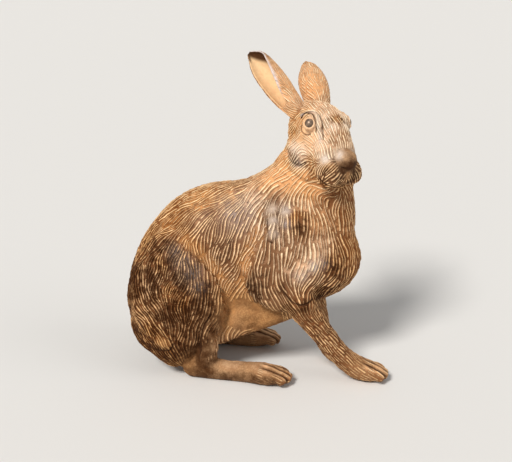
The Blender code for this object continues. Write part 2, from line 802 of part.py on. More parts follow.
def main():
    for obj in list(bpy.data.objects):
        bpy.data.objects.remove(obj)

    figure = figure_skin()
    core = body_core()
    origins = {"body_shell": (0, 0, 0), "head_shell": neck_frame().translation}

    # Head, with its ears and eyes
    above_neck = block("above", (-80, -80, 0), (80, 80, 150), neck_frame())
    head = keep(twin(figure, "head_shell"), above_neck)
    hollow = head_core()
    above_flange = block("above_flange", (-80, -80, 4), (80, 80, 150), neck_frame())
    keep(hollow, above_flange)
    cut(head, hollow)
    sleeve = oval_bar("sleeve", -9, 3)
    join(head, sleeve)
    bore = oval_bar("bore", -12, 8, -3)
    cut(head, bore)
    discard(above_neck, above_flange, hollow, sleeve, bore)

    bm = bmesh.new()
    add_head(bm)
    sweep(bm, spine_rows(NECK), Y_AXIS)
    grown_head = skinned(solid("grown_head", bm), FORM_VOXEL, FORM_ROUNDS, 5000, FIT_GAP + 0.15)
    for name, rows in (("ear_right", EAR_RIGHT), ("ear_left", EAR_LEFT)):
        ear(name, rows, grown_head)
        socket = ear_socket(rows)
        cut(head, socket)
        discard(socket)
        origins[name] = head_frame() @ Vector(rows[0][:3])
    discard(grown_head)
    for name, hand in (("eye_right", -1), ("eye_left", 1)):
        centre = head_frame() @ Vector((EYE[0], hand * EYE[1], EYE[2]))
        bead(name, centre, EYE_RADIUS)
        origins[name] = centre
        socket = bead("socket", centre, EYE_RADIUS + FIT_GAP)
        cut(head, socket)
        discard(socket)

    # Body: everything below the neck seam and inside the leg seams
    body = twin(figure, "body_shell")
    above_seam = block("above_seam", (-80, -80, -SEAM_GAP), (80, 80, 150), neck_frame())
    cut(body, above_seam)
    discard(above_seam)
    below_collar = block("below_collar", (-120, -80, -150), (80, 80, -12), neck_frame())
    keep(core, below_collar)
    cut(body, core)
    neck_bore = oval_bar("neck_bore", -14, 4, FIT_GAP)
    cut(body, neck_bore)
    discard(core, below_collar, neck_bore)
    for name, row in LIMBS.items():
        limb(name, figure, *row)
        free_for_limb(body, *row)
        axis_point, out = LIMB_PINS[name]
        out = Vector(out)
        start = way_out(figure, axis_point, out) - out * SEAM_GAP
        end = Vector(axis_point) - out * PIN_BEYOND
        hole = pin_hole(start, end)
        cut(body, hole)
        cut(bpy.data.objects[name], hole)
        discard(hole)
        pin(name + "_pin", start, end)
        origins[name] = row[-3]
        origins[name + "_pin"] = start

    # Neck pins go from the inside of the sleeve into blind holes in the collar
    for number, angle in enumerate((90, 210, 330), 1):
        turn = math.radians(angle)
        inner = (NECK_SLEEVE[0] - 3) * math.cos(turn), (NECK_SLEEVE[1] - 3) * math.sin(turn), -6
        outer = (NECK_SLEEVE[0] + 3) * math.cos(turn), (NECK_SLEEVE[1] + 3.2) * math.sin(turn), -6
        start = neck_frame() @ Vector(inner)
        end = neck_frame() @ Vector(outer)
        hole = pin_hole(start, end, NECK_PIN_RADIUS)
        cut(head, hole)
        cut(body, hole)
        discard(hole)
        pin(f"neck_pin_{number}", start, end, NECK_PIN_RADIUS)
        origins[f"neck_pin_{number}"] = start

    discard(figure)

    castings = list(bpy.data.objects)
    corners = [vertex.co for obj in castings for vertex in obj.data.vertices]
    middle = Vector(
        ((min(c.x for c in corners) + max(c.x for c in corners)) / 2,
         (min(c.y for c in corners) + max(c.y for c in corners)) / 2, 0)
    )
    hare = bpy.data.objects.new("hare", None)
    bpy.context.scene.collection.objects.link(hare)
    for obj in castings:
        placed(obj, origins[obj.name], middle)
        patinated(obj)
        obj.parent = hare


main()
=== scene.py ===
"""A sitting hare in patinated bronze, with carved fur, on a pale studio floor."""

import itertools
import math

import bmesh
import bpy
import numpy as np
from mathutils import Matrix, Vector
from mathutils.bvhtree import BVHTree
from mathutils.kdtree import KDTree


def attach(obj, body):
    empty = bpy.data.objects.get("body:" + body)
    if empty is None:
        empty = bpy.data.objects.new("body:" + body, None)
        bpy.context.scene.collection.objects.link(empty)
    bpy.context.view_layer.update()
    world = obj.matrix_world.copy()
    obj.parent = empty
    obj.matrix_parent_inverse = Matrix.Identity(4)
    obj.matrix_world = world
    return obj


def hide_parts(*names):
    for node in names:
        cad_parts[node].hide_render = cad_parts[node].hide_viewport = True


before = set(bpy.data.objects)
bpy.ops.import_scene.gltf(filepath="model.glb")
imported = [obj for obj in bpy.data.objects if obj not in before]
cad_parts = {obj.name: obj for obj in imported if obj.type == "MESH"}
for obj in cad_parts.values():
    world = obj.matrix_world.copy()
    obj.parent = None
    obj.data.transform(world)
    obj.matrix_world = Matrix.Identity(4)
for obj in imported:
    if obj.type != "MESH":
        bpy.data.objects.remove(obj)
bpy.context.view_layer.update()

# Lengths are in millimetres until a piece is finished
MM = 0.001
COARSE_VOXEL = 1.0
FINE_VOXEL = 0.6
# Each round of smoothing evens the points out by the first share and swells the skin back by the second
SMOOTHING = (0.55, -0.57)
COARSE_ROUNDS = 14
FINE_ROUNDS = 4
LAST_ROUNDS = 3

# The head's own frame: u runs ahead, v to its left, w up
HEAD_CENTRE = (43, -4, 182)
HEAD_YAW = -47
HEAD_PITCH = 25
HEAD_ROLL = -4
EYE = (6.0, 15.8, 10)
EYE_RADIUS = 4.3

CASTINGS = ["body_shell", "head_shell", "foreleg_right", "foreleg_left", "hind_foot_right", "hind_foot_left"]
EARS = ["ear_right", "ear_left"]
EYES = ["eye_right", "eye_left"]
PINS = [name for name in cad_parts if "pin" in name]
PIN_SHORTER = 1.6
random = np.random.default_rng(8)


def head_frame():
    yaw = Matrix.Rotation(math.radians(HEAD_YAW), 4, "Z")
    pitch = Matrix.Rotation(math.radians(HEAD_PITCH), 4, "Y")
    roll = Matrix.Rotation(math.radians(HEAD_ROLL), 4, "X")
    return Matrix.Translation(Vector(HEAD_CENTRE)) @ yaw @ pitch @ roll


def middle_of(name):
    """The middle of a solid's box."""
    places = np.array([v.co[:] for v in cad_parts[name].data.vertices]) / MM
    return Vector((places.min(axis=0) + places.max(axis=0)) / 2)


# The solids stand this far from the frame that all the places are given in
SHIFT = middle_of("eye_right") - head_frame() @ Vector((EYE[0], -EYE[1], EYE[2]))
HEAD = Matrix.Translation(SHIFT) @ head_frame()
HEAD_TURN = HEAD.to_3x3()


def on_head(place):
    return np.array(HEAD @ Vector(place))


def head_way(way):
    return np.array(HEAD_TURN @ Vector(way))


# Meshes as arrays


def linked(name, mesh):
    obj = bpy.data.objects.new(name, mesh)
    bpy.context.scene.collection.objects.link(obj)
    return obj


def stored(name, bm):
    """A new object that holds bm, which goes."""
    mesh = bpy.data.meshes.new(name)
    bm.to_mesh(mesh)
    bm.free()
    return linked(name, mesh)


def taken(obj):
    """The bmesh of a temporary object, which goes."""
    bm = bmesh.new()
    bm.from_mesh(obj.data)
    bpy.data.objects.remove(obj)
    return bm


def remeshed(bm, voxel):
    """One closed skin round all that bm holds, in a temporary object."""
    obj = stored("skin", bm)
    remesh = obj.modifiers.new("skin", "REMESH")
    remesh.mode = "VOXEL"
    remesh.voxel_size = voxel
    graph = bpy.context.evaluated_depsgraph_get()
    mesh = bpy.data.meshes.new_from_object(obj.evaluated_get(graph))
    obj.modifiers.clear()
    obj.data = mesh
    return obj


def keep_outer(bm):
    """Deletes every closed skin but the one with the most faces, such as the wall of a hollow."""
    seen = set()
    groups = []
    for face in bm.faces:
        if face in seen:
            continue
        seen.add(face)
        stack = [face]
        found = []
        while stack:
            one = stack.pop()
            found.append(one)
            for edge in one.edges:
                for other in edge.link_faces:
                    if other not in seen:
                        seen.add(other)
                        stack.append(other)
        groups.append(found)
    groups.sort(key=len)
    doomed = [face for found in groups[:-1] for face in found]
    bmesh.ops.delete(bm, geom=doomed, context="FACES")


def solids(names, bm=None):
    """The named solids in millimetres, in a new bmesh or after what bm holds."""
    bm = bmesh.new() if bm is None else bm
    before = len(bm.verts)
    for name in names:
        bm.from_mesh(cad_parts[name].data)
    bm.verts.ensure_lookup_table()
    bmesh.ops.scale(bm, vec=(1 / MM,) * 3, verts=bm.verts[before:])
    return bm


class Skin:
    """A mesh's points, normals and neighbours as arrays."""

    def __init__(self, obj):
        self.obj = obj
        mesh = obj.data
        self.count = len(mesh.vertices)
        self.points = np.empty(self.count * 3)
        mesh.vertices.foreach_get("co", self.points)
        self.points = self.points.reshape(-1, 3)
        edges = np.empty(len(mesh.edges) * 2, np.int64)
        mesh.edges.foreach_get("vertices", edges)
        self.start, self.end = edges.reshape(-1, 2).T
        self.degree = np.maximum(np.bincount(edges, minlength=self.count), 1)

    def mean_of_neighbours(self, values):
        """The mean of each point's neighbours, for one value a point or for several."""
        if values.ndim > 1:
            return np.stack([self.mean_of_neighbours(column) for column in values.T], axis=1)
        total = np.bincount(self.start, weights=values[self.end], minlength=self.count)
        total += np.bincount(self.end, weights=values[self.start], minlength=self.count)
        return total / self.degree

    def soften(self, rounds):
        for _ in range(rounds):
            for share in SMOOTHING:
                step = self.mean_of_neighbours(self.points) - self.points
                self.points = self.points + share * step
        self.store()

    def blurred(self, values, rounds):
        for _ in range(rounds):
            values = 0.5 * values + 0.5 * self.mean_of_neighbours(values)
        return values

    def store(self):
        self.obj.data.vertices.foreach_set("co", self.points.ravel())
        self.obj.data.update()

    def normals(self):
        flat = np.empty(self.count * 3)
        self.obj.data.vertex_normals.foreach_get("vector", flat)
        return flat.reshape(-1, 3)

    def tree(self):
        mesh = self.obj.data
        mesh.calc_loop_triangles()
        faces = np.empty(len(mesh.loop_triangles) * 3, np.int64)
        mesh.loop_triangles.foreach_get("vertices", faces)
        self.triangles = faces.reshape(-1, 3)
        return BVHTree.FromPolygons(self.points.tolist(), self.triangles.tolist())

    def move(self, amount):
        self.points = self.points + self.normals() * amount[:, None]
        self.store()


def refined(skin, inside):
    """The skin with the faces whose points are all inside cut in four, as triangles."""
    bm = bmesh.new()
    bm.from_mesh(skin.obj.data)
    bm.verts.ensure_lookup_table()
    edges = [edge for edge in bm.edges if inside[edge.verts[0].index] and inside[edge.verts[1].index]]
    bmesh.ops.subdivide_edges(bm, edges=edges, cuts=1, use_grid_fill=True)
    bmesh.ops.triangulate(bm, faces=bm.faces)
    bm.to_mesh(skin.obj.data)
    bm.free()
    return Skin(skin.obj)


# Measures in space


def ramp(low, high, value):
    """0 before low and 1 past high, which may lie below low."""
    t = np.clip((value - low) / (high - low), 0, 1)
    return t * t * (3 - 2 * t)


def bell(value, width=1.0):
    """1 at 0, and less the further the value is from it, measured by the width."""
    return np.exp(-((value / width) ** 2))


def length_of(ways):
    return np.linalg.norm(ways, axis=1)


def unit(ways):
    return ways / np.maximum(length_of(ways), 1e-12)[:, None]


def weighed(points, rows, blur, power):
    """The values of the rows at each point, where the nearest places count most."""
    total = np.zeros(len(points))
    values = np.zeros((len(points), len(rows[0]) - 1))
    for place, *value in rows:
        weight = (np.sum((points - place) ** 2, axis=1) + blur) ** power
        total += weight
        values += weight[:, None] * value
    return values / total[:, None]


def nearest_on(points, path):
    """Each point's nearest place on a path of straight runs.

    Returns the distance, how far along the path it lies, the place, the way of the run, and the whole length.
    """
    path = np.asarray(path, float)
    best = np.full(len(points), 1e9)
    along = np.zeros(len(points))
    place = np.zeros_like(points)
    way = np.zeros_like(points)
    lengths = length_of(np.diff(path, axis=0))
    reached = np.concatenate([[0], np.cumsum(lengths)])
    for i, (a, b) in enumerate(zip(path, path[1:])):
        t = np.clip(((points - a) @ (b - a)) / lengths[i] ** 2, 0, 1)
        spot = a + t[:, None] * (b - a)
        distance = length_of(points - spot)
        nearer = distance < best
        best[nearer] = distance[nearer]
        along[nearer] = reached[i] + t[nearer] * lengths[i]
        place[nearer] = spot[nearer]
        way[nearer] = b - a
    return best, along, place, way, reached[-1]


def beside(points, path):
    """How far each point lies to the left of a path in x and z, or to its right where less than 0.

    Also how far along the path it lies, and the path's length.
    """
    flat = points[:, [0, 2]]
    distance, along, place, way, length = nearest_on(flat, curved(path))
    away = flat - place
    side = np.sign(way[:, 0] * away[:, 1] - way[:, 1] * away[:, 0])
    return distance * side, along, length


def curved(path, steps=6):
    """A path with smooth points put in between."""
    path = [np.asarray(p, float) for p in path]
    last = len(path) - 1
    out = []
    for i in range(last):
        a, b, c, d = path[max(i - 1, 0)], path[i], path[i + 1], path[min(i + 2, last)]
        for k in range(steps):
            t = k / steps
            square = (2 * a - 5 * b + 4 * c - d) * t**2
            out.append(0.5 * (2 * b + (c - a) * t + square + (3 * b - a - 3 * c + d) * t**3))
    out.append(path[-1])
    return out


def distance_to(points, places):
    """How far each point is from the nearest of the places."""
    kd = KDTree(len(places))
    for number, place in enumerate(places):
        kd.insert(place, number)
    kd.balance()
    return np.array([kd.find(point)[2] for point in points])


def nearest_nodes(points, names, margin=6):
    """For each point, the node whose surface lies nearest, as a number in names."""
    best = np.full(len(points), 1e9)
    label = np.zeros(len(points), np.int64)
    for number, name in enumerate(names):
        bm = solids([name])
        tree = BVHTree.FromBMesh(bm)
        low = np.min([v.co[:] for v in bm.verts], axis=0) - margin
        high = np.max([v.co[:] for v in bm.verts], axis=0) + margin
        bm.free()
        near = np.flatnonzero(((points > low) & (points < high)).all(axis=1))
        for v in near:
            distance = tree.find_nearest(points[v])[3]
            if distance is not None and distance < best[v]:
                best[v] = distance
                label[v] = number
    return label


def waves(points, length, seed, count=7):
    """Smooth noise from crossed waves, about -1 to 1, with hills about this long."""
    rng = np.random.default_rng(seed)
    total = np.zeros(len(points))
    for _ in range(count):
        way = rng.normal(size=3)
        way /= np.linalg.norm(way)
        total += np.sin(points @ way * (2 * math.pi / length) * rng.uniform(0.6, 1.5) + rng.uniform(0, 6.28))
    return total / math.sqrt(count)


# The fine part of the skin lies past this plane, for the short strokes of the head
NECK_PLACE = np.array((35, 0, 152))
NECK_WAY = np.array((0.35, 0, 0.94))

# Forms that are added to the smooth figure: a path, how wide it is and how high, the head's in its own frame.
# The brow arches over the eye and runs down in front of it
BROW_RIDGE = [
    ([(-6, -14.5, 9), (-2.5, -12.5, 14.5), (3.5, -12.4, 17), (9.5, -13.7, 15.8), (13, -13.7, 12),
       (16, -13, 8), (19, -13, 4.5)], 1.3, 0.95),
]
# Cheek, swelling behind the nostril, nose, edge of the bridge, and lower rim of the pocket under the eye
HEAD_RIDGES = [
    ([(2, -19, -13), (9, -18, -10)], 5.0, 0.8),
    ([(28, -13.5, -3), (31, -13.4, -4.2)], 2.6, 0.5),
    ([(35, -2, 5), (35, -6.5, 3.5)], 2.6, 0.7),
    ([(1, -7.5, 18.5), (12, -6, 17), (24, -4.5, 11.5)], 2.2, 0.35),
    ([(-1.5, -16, 3), (3.5, -17, -0.5), (9, -16.4, 0.8)], 1.1, 0.45),
]
# Creases inside and outside the brow, round the pocket, behind the cheek, above the nostril, and the mouth
HEAD_CREASES = [
    ([(-5, -14.8, 8), (-5, -13.7, 10.6), (-2.8, -13.1, 13), (2.8, -13.9, 15.8), (7.6, -14.8, 15.1),
       (11.4, -15.2, 12.4), (12.8, -14.5, 8)], 0.6, 0.85),
    ([(1.5, -10.9, 17.6), (6, -10.6, 17.4), (12.5, -11.6, 15.4), (16, -12, 11), (20, -12, 6)], 0.7, 0.7),
    ([(-2.5, -15.8, 8), (-1, -16.3, 4.8), (2.5, -17, 1.7), (7.5, -16.6, 2.2),
       (9.6, -15.9, 4.4)], 0.55, 0.7),
    ([(0, -18, -21), (7, -18, -21.5), (12, -16, -19.5), (17, -14.5, -14)], 1.1, 0.55),
    ([(16, -15, -6), (20, -15, -10), (24, -15, -16)], 1.1, 0.4),
    ([(33, -10.5, 1), (36, -9.5, -1.5), (39, -7.5, -3), (41.5, -4.5, -3.5), (44, -1.5, -3)], 1.0, 0.9),
    ([(42, -2, -5), (44, -1.5, -10), (44, -1, -15)], 0.9, 0.6),
    ([(33, -17, -14), (36.5, -16, -16), (41.5, -12, -17), (43, -4, -18), (42, 0, -19)], 0.9, 0.9),
]
# Folds behind the jaw, on both sides
BODY_RIDGES = [
    ([(16, -11, 156), (22, -16, 154), (27, -19, 151), (32, -20, 148), (38, -21, 146), (44, -21, 145),
       (52, -19, 143)], 1.5, 1.1),
]
BODY_CREASES = [
    ([(24, -15, 157), (30, -18, 153), (36, -20, 150), (44, -20, 148.5), (54, -17, 146.5)], 1.2, 0.45),
]
# On the right side alone: two locks of the shoulder, and the tail
RIGHT_RIDGES = [
    ([(13, -20, 129), (14, -24, 124), (16, -28, 118), (16, -31, 111)], 2.2, 1.4),
    ([(23, -22, 131), (22, -25, 126), (24, -28, 120)], 2.6, 1.0),
    ([(-83, -41, 54), (-79, -43, 47), (-73, -45, 39), (-66, -47, 33), (-61, -47, 30)], 4.4, 1.9),
    ([(-64, -46, 32), (-60, -47, 30)], 2.6, 0.8),
]
# Beside the locks, round the tail, behind the shin, and under the elbow
RIGHT_CREASES = [
    ([(8, -20, 128), (10, -24, 122), (12, -29, 115), (12, -32, 109), (15, -32, 107)], 0.8, 1.1),
    ([(18, -22, 129), (18, -26, 122), (20, -29, 116)], 0.6, 0.6),
    ([(-90, -31, 36), (-83, -37, 29), (-74, -41, 24), (-65, -45, 24), (-57, -46, 26),
       (-54, -47, 31)], 0.9, 1.0),
    ([(-75, -45, 53), (-69, -47, 45), (-62, -48, 38), (-55, -48, 33)], 0.8, 0.8),
    ([(-28, -39.5, 52), (-34, -41.5, 41), (-36, -39.5, 28), (-38, -40.5, 18)], 1.2, 1.1),
    ([(24, -36, 72), (28, -36, 67), (32, -36, 64), (36, -35, 62.5), (41, -33, 63),
       (45, -27, 66)], 0.8, 1.0),
]
# How much lower the relief stands on the side that the head turns away
FAR_BROW = 0.15
FAR_CREASES = 0.6
# The lids leave the eyeball open round this way, in the head's frame, right side, and within this angle
EYE_WAY = Vector((0.42, -0.72, 0.55)).normalized()
EYE_OPENING = 44
LID_RADIUS = 5.15
LID_FALL = 1.3
LID_REACH = 8
SOCKET_RADIUS = 3.6


def ridge_relief(points, table, in_head=False, far=1.0):
    """How high the ridges of a table stand at each point, on both sides, the left one at this share."""
    amount = np.zeros(len(points))
    for path, width, height in table:
        for hand, share in ((1, 1.0), (-1, far)):
            if share > 0:
                places = [np.array(p, float) * (1, hand, 1) for p in path]
                if in_head:
                    places = [on_head(p) for p in places]
                distance = nearest_on(points, curved(places, 4))[0]
                amount += share * height * bell(distance, width)
    return amount


# Paws: the middle at the root of the toes, the way that they point in degrees, their spacing and their reach
PAWS = [
    ((84.5, -17, 7), -2, 4.9, 15),
    ((62.5, 10, 5.2), -8, 4.2, 11),
    ((12, -35, 7), -3, 4.9, 18.5),
    ((-6, 30, 7), 3, 4.9, 18.5),
]
TOE_CUT = 0.9
TOE_CUT_WIDTH = 0.75
TOE_TOP_WIDTH = 1.1
TOE_SPREAD = 0.012


def toe_relief(points):
    """How deep the cuts between the toes are, and how strongly the tops of the toes are worn pale, with a
    painted highlight on them.
    """
    cut = np.zeros(len(points))
    top = np.zeros(len(points))
    for root, heading, spacing, reach in PAWS:
        turn = math.radians(heading)
        away = points - np.array(root) - np.array(SHIFT)
        along = away[:, 0] * math.cos(turn) + away[:, 1] * math.sin(turn)
        across = away[:, 1] * math.cos(turn) - away[:, 0] * math.sin(turn)
        near = (np.abs(across) < spacing * 2.2) & (along > -12) & (along < reach + 4)
        toe = across / (spacing * (1 + TOE_SPREAD * np.clip(along, -10, 12)))
        between = np.abs(toe - np.round(toe)) * spacing
        inner = np.abs(np.round(toe)) < 2
        near &= points[:, 2] < 20
        here = near * ramp(-6, 1, along) * ramp(-3, 2, away[:, 2] + 4)
        cut = np.maximum(cut, here * inner * bell(between, TOE_CUT_WIDTH))
        crown = here * bell(between - spacing / 2, TOE_TOP_WIDTH)
        top = np.maximum(top, crown * ramp(-1, 3, away[:, 2] + 2))
    return cut, top


def add_lids(skin):
    """Draws the skin back from the eyeballs and leaves a raised lid round each."""
    for hand in (1, -1):
        u, v, w = EYE
        centre = on_head((u, -hand * v, w))
        away = skin.points - centre
        distance = length_of(away)
        near = np.flatnonzero(distance < LID_REACH)
        facing = away[near] @ head_way((EYE_WAY.x, hand * EYE_WAY.y, EYE_WAY.z)) / distance[near]
        angle = np.degrees(np.arccos(np.clip(facing, -1, 1)))
        lid = LID_RADIUS - LID_FALL * ramp(EYE_OPENING + 16, EYE_OPENING + 50, angle)
        raised = np.maximum(distance[near], lid)
        opened = ramp(EYE_OPENING + 5, EYE_OPENING - 3, angle)
        wanted = raised * (1 - opened) + SOCKET_RADIUS * opened
        skin.points[near] = centre + away[near] / distance[near, None] * wanted[:, None]
    skin.store()


def figure():
    """The whole figure as one fine skin, with its brows, folds and toes."""
    bm = taken(remeshed(solids(CASTINGS + EYES + PINS), COARSE_VOXEL))
    keep_outer(bm)
    base = Skin(stored("base", bm))
    base.soften(COARSE_ROUNDS)
    skin = Skin(remeshed(solids(EARS, taken(base.obj)), FINE_VOXEL))
    skin.soften(FINE_ROUNDS)
    skin = refined(skin, (skin.points - NECK_PLACE) @ NECK_WAY > 0)
    skin.soften(LAST_ROUNDS)
    add_lids(skin)
    points = skin.points
    brow = ridge_relief(points, BROW_RIDGE, True, FAR_BROW)
    collar = ridge_relief(points, BODY_RIDGES)
    raised = brow + ridge_relief(points, HEAD_RIDGES, True) + collar
    raised += ridge_relief(points, RIGHT_RIDGES, far=0)
    crease = ridge_relief(points, HEAD_CREASES, True, FAR_CREASES) + ridge_relief(points, BODY_CREASES)
    crease += ridge_relief(points, RIGHT_CREASES, far=0)
    cut, top = toe_relief(points)
    skin.move(raised - crease - TOE_CUT * cut)
    skin.brow = np.clip(brow, 0, 1)
    # Creases and the cuts between the toes are painted dark, as painted shade
    skin.cut = np.clip(np.maximum(1.5 * crease - 0.2, cut), 0, 1)
    # The tops of the toes and the crest of the collar are painted paler: worn metal with a painted highlight
    skin.lit = np.maximum(top, collar)
    return skin


# The flow of the fur: a place on the right side, then the way that the strokes run there
BODY_FLOW = [
    (10, -12, 140, -0.7, 0, -0.7), (-40, -12, 137, -0.8, -0.1, -0.6), (-63, -20, 113, -0.6, -0.1, -0.8),
    (-76, -24, 95, -0.35, 0, -0.95), (-88, -22, 72, -0.05, 0, -1), (-27, -28, 95, -0.12, 0, -1),
    (-5, -28, 100, -0.15, 0, -1), (-15, -30, 77, -0.35, 0, -0.93), (-4, -30, 72, -0.5, 0, -0.86),
    (-63, -40, 76, 0, 0, -1), (-45, -42, 68, -0.3, 0, -0.95), (-36, -42, 50, -0.5, 0, -0.87),
    (-44, -44, 36, -0.35, 0, -0.92), (-57, -45, 44, 0.25, 0, -0.95), (-71, -44, 62, 0.4, 0, -0.9),
    (-80, -42, 56, 0.68, 0, -0.73), (-74, -44, 40, 0.7, 0, -0.7), (-60, -47, 34, 0.6, 0, -0.8),
    (-51, -44, 24, 0.3, 0, -0.95), (-86, -25, 40, 0.6, -0.2, -0.77), (-72, -40, 26, 0.85, 0, -0.55),
    (-70, -28, 15, 1, 0, -0.25), (22, -26, 119, 0.1, 0, -1), (16, -30, 95, 0.02, 0, -1),
    (4, -32, 77, 0.02, 0, -1), (2, -30, 64, 0.3, 0, -0.95), (34, -28, 90, -0.3, 0, -0.95),
    (47, -24, 83, -0.5, 0, -0.87), (40, -26, 66, -0.3, 0, -0.95), (26, -30, 62, 0.35, 0, -0.93),
    (42, -22, 128, 0.05, 0, -1), (58, -12, 125, 0.15, 0, -1), (66, 0, 120, 0.1, 0, -1),
    (60, -18, 101, 0.3, 0, -0.95), (74, 0, 92, 0, 0, -1), (66, -14, 86, -0.2, 0, -0.95),
    (60, -14, 72, -0.6, 0, -0.8), (20, -14, 150, -0.65, 0, -0.75), (30, -14, 162, -0.3, 0, -0.95),
    (-38, -36, 25, 0.1, 0, -1), (-36, -36, 14, 0.1, 0, -1), (-20, -34, 10, 1, 0, 0),
    (20, -36, 8, 1, 0, -0.2), (0, -10, 40, -1, 0, 0), (-30, -10, 36, -1, 0, 0),
    (40, -24, 52, 0.65, 0, -0.75), (56, -22, 32, 0.6, 0, -0.8), (70, -18, 14, 0.75, 0, -0.65),
    (88, -17, 8, 1, 0, -0.2), (44, -14, 36, 0.3, 0, -0.95), (52, -12, 15, 0.5, 0, -0.85),
]
# The same on the head, in its own frame
HEAD_FLOW = [
    (30, 0, 2, -1, 0, 0.35), (18, -4, 8, -1, 0.1, 0.35), (5, -5, 17, -1, 0.05, 0.3),
    (22, -11, 2, -0.9, 0, 0.45), (12, -13, 8, -0.85, 0, 0.5), (14, -15, -2, -0.9, 0, 0.2),
    (2, -18, -8, -0.35, 0, -0.95), (8, -16, -18, -0.55, 0, -0.85), (34, -14, -11, 0.2, -0.5, -0.8),
    (39, -10, -10, 0.1, -0.55, -0.8), (28, 0, -26, -0.8, 0, -0.4), (-8, -16, 6, -0.2, 0, -1),
    (-18, -8, 4, -0.4, 0, -0.9), (-6, -6, 20, -1, 0, 0), (-6, -17, -10, -0.3, 0, -0.95),
]
# Places of the right side, how dark the colour is there, from 0 to 1, and how warm: the patina's own tone,
# with painted shade on the rump and the undersides of the hind feet and painted light on the tops of the feet
TONES = [
    (10, -12, 140, 0.28, 0.75), (-20, -14, 139, 0.2, 0.9), (-41, -14, 131, 0.18, 1),
    (-63, -16, 115, 0.22, 1), (-80, -18, 92, 0.62, 1), (-92, -20, 66, 1, 0.8), (-84, -30, 70, 1, 0.8),
    (-10, -26, 122, 0.35, 0.45), (-34, -26, 112, 0.42, 0.6), (-22, -28, 96, 0.62, 0.5),
    (-10, -28, 80, 0.68, 0.5), (-45, -28, 98, 0.5, 0.85), (-57, -36, 92, 0.8, 0.45),
    (-50, -42, 78, 0.95, 0.4), (-68, -38, 74, 0.95, 0.55), (-40, -42, 60, 0.92, 0.6),
    (-58, -44, 50, 0.9, 0.7), (-80, -30, 45, 0.95, 0.8), (-50, -42, 32, 0.92, 0.8), (-62, -42, 26, 1, 0.9),
    (-70, -32, 20, 1, 0.9), (-52, -36, 14, 0.8, 1), (-24, -26, 50, 0.62, 0.9), (0, -24, 50, 0.64, 0.95),
    (10, -20, 44, 0.6, 1), (-12, -26, 58, 0.55, 0.95), (-34, -39, 30, 1, 0.7), (-34, -38, 38, 0.9, 0.7),
    (-35, -38, 16, 1, 0.7), (-30, -42, 24, 0.85, 0.6), (-27, -38, 20, 0.72, 0.6), (-15, -34, 12, 0.2, 0.7),
    (-15, -42, 4, 0.85, 0.6), (-32, -43, 5, 0.9, 0.7), (2, -43, 4, 0.8, 0.7), (16, -43, 4, 0.75, 0.7),
    (8, -36, 11, 0.25, 0.75), (22, -38, 8, 0.35, 0.8), (13, -22, 127, 0.36, 0), (15, -27, 119, 0.3, 0),
    (23, -24, 126, 0.26, 0.05), (31, -26, 125, 0.5, 0.95), (34, -27, 120, 0.75, 0.6),
    (38, -33, 90, 0.12, 0.5), (43, -31, 97, 0.12, 0.5), (48, -28, 103, 0.2, 0.5), (-62, -38, 90, 0.75, 0.9),
    (-55, -45, 72, 0.7, 0.95), (-45, -45, 63, 0.75, 0.95), (-61, -47, 30, 0.5, 1), (-72, -46, 38, 0.75, 1),
    (-80, -43, 48, 0.55, 0.8), (-45, -38, 14, 0.75, 0.9), (-24, -36, 26, 0.3, 0.6),
    (2, -24, 134, 0.12, 0.35), (22, -28, 113, 0.3, 0.3), (57, -24, 90, 0.75, 0.85),
    (8, -30, 100, 0.34, 0.5), (20, -30, 92, 0.36, 0.45), (28, -30, 86, 0.22, 0.45),
    (30, -30, 94, 0.25, 0.5), (38, -26, 100, 0.38, 0.35), (44, -24, 84, 0.62, 0.45),
    (3, -33, 72, 0.85, 0.5), (5, -34, 81, 0.62, 0.5), (-4, -29, 84, 0.12, 0.85), (-8, -27, 76, 0.2, 0.9),
    (20, -30, 72, 0.62, 0.6), (32, -28, 60, 0.65, 0.8), (44, -22, 122, 0.2, 0.8),
    (60, -12, 122, 0.28, 0.85), (66, -10, 100, 0.36, 0.95), (66, 0, 84, 0.5, 0.95),
    (50, -22, 66, 0.72, 0.8), (40, -24, 50, 0.55, 0.8), (58, -20, 28, 0.52, 0.75), (76, -18, 12, 0.45, 0.8),
    (92, -17, 7, 0.3, 0.8), (10, -16, 149, 0, 0.85), (20, -18, 151, 0, 0.85), (28, -20, 146, 0, 0.85),
    (22, -14, 162, 0.12, 0.95), (40, -22, 141, 0.08, 0.9), (36, -22, 132, 0.2, 0.6),
]
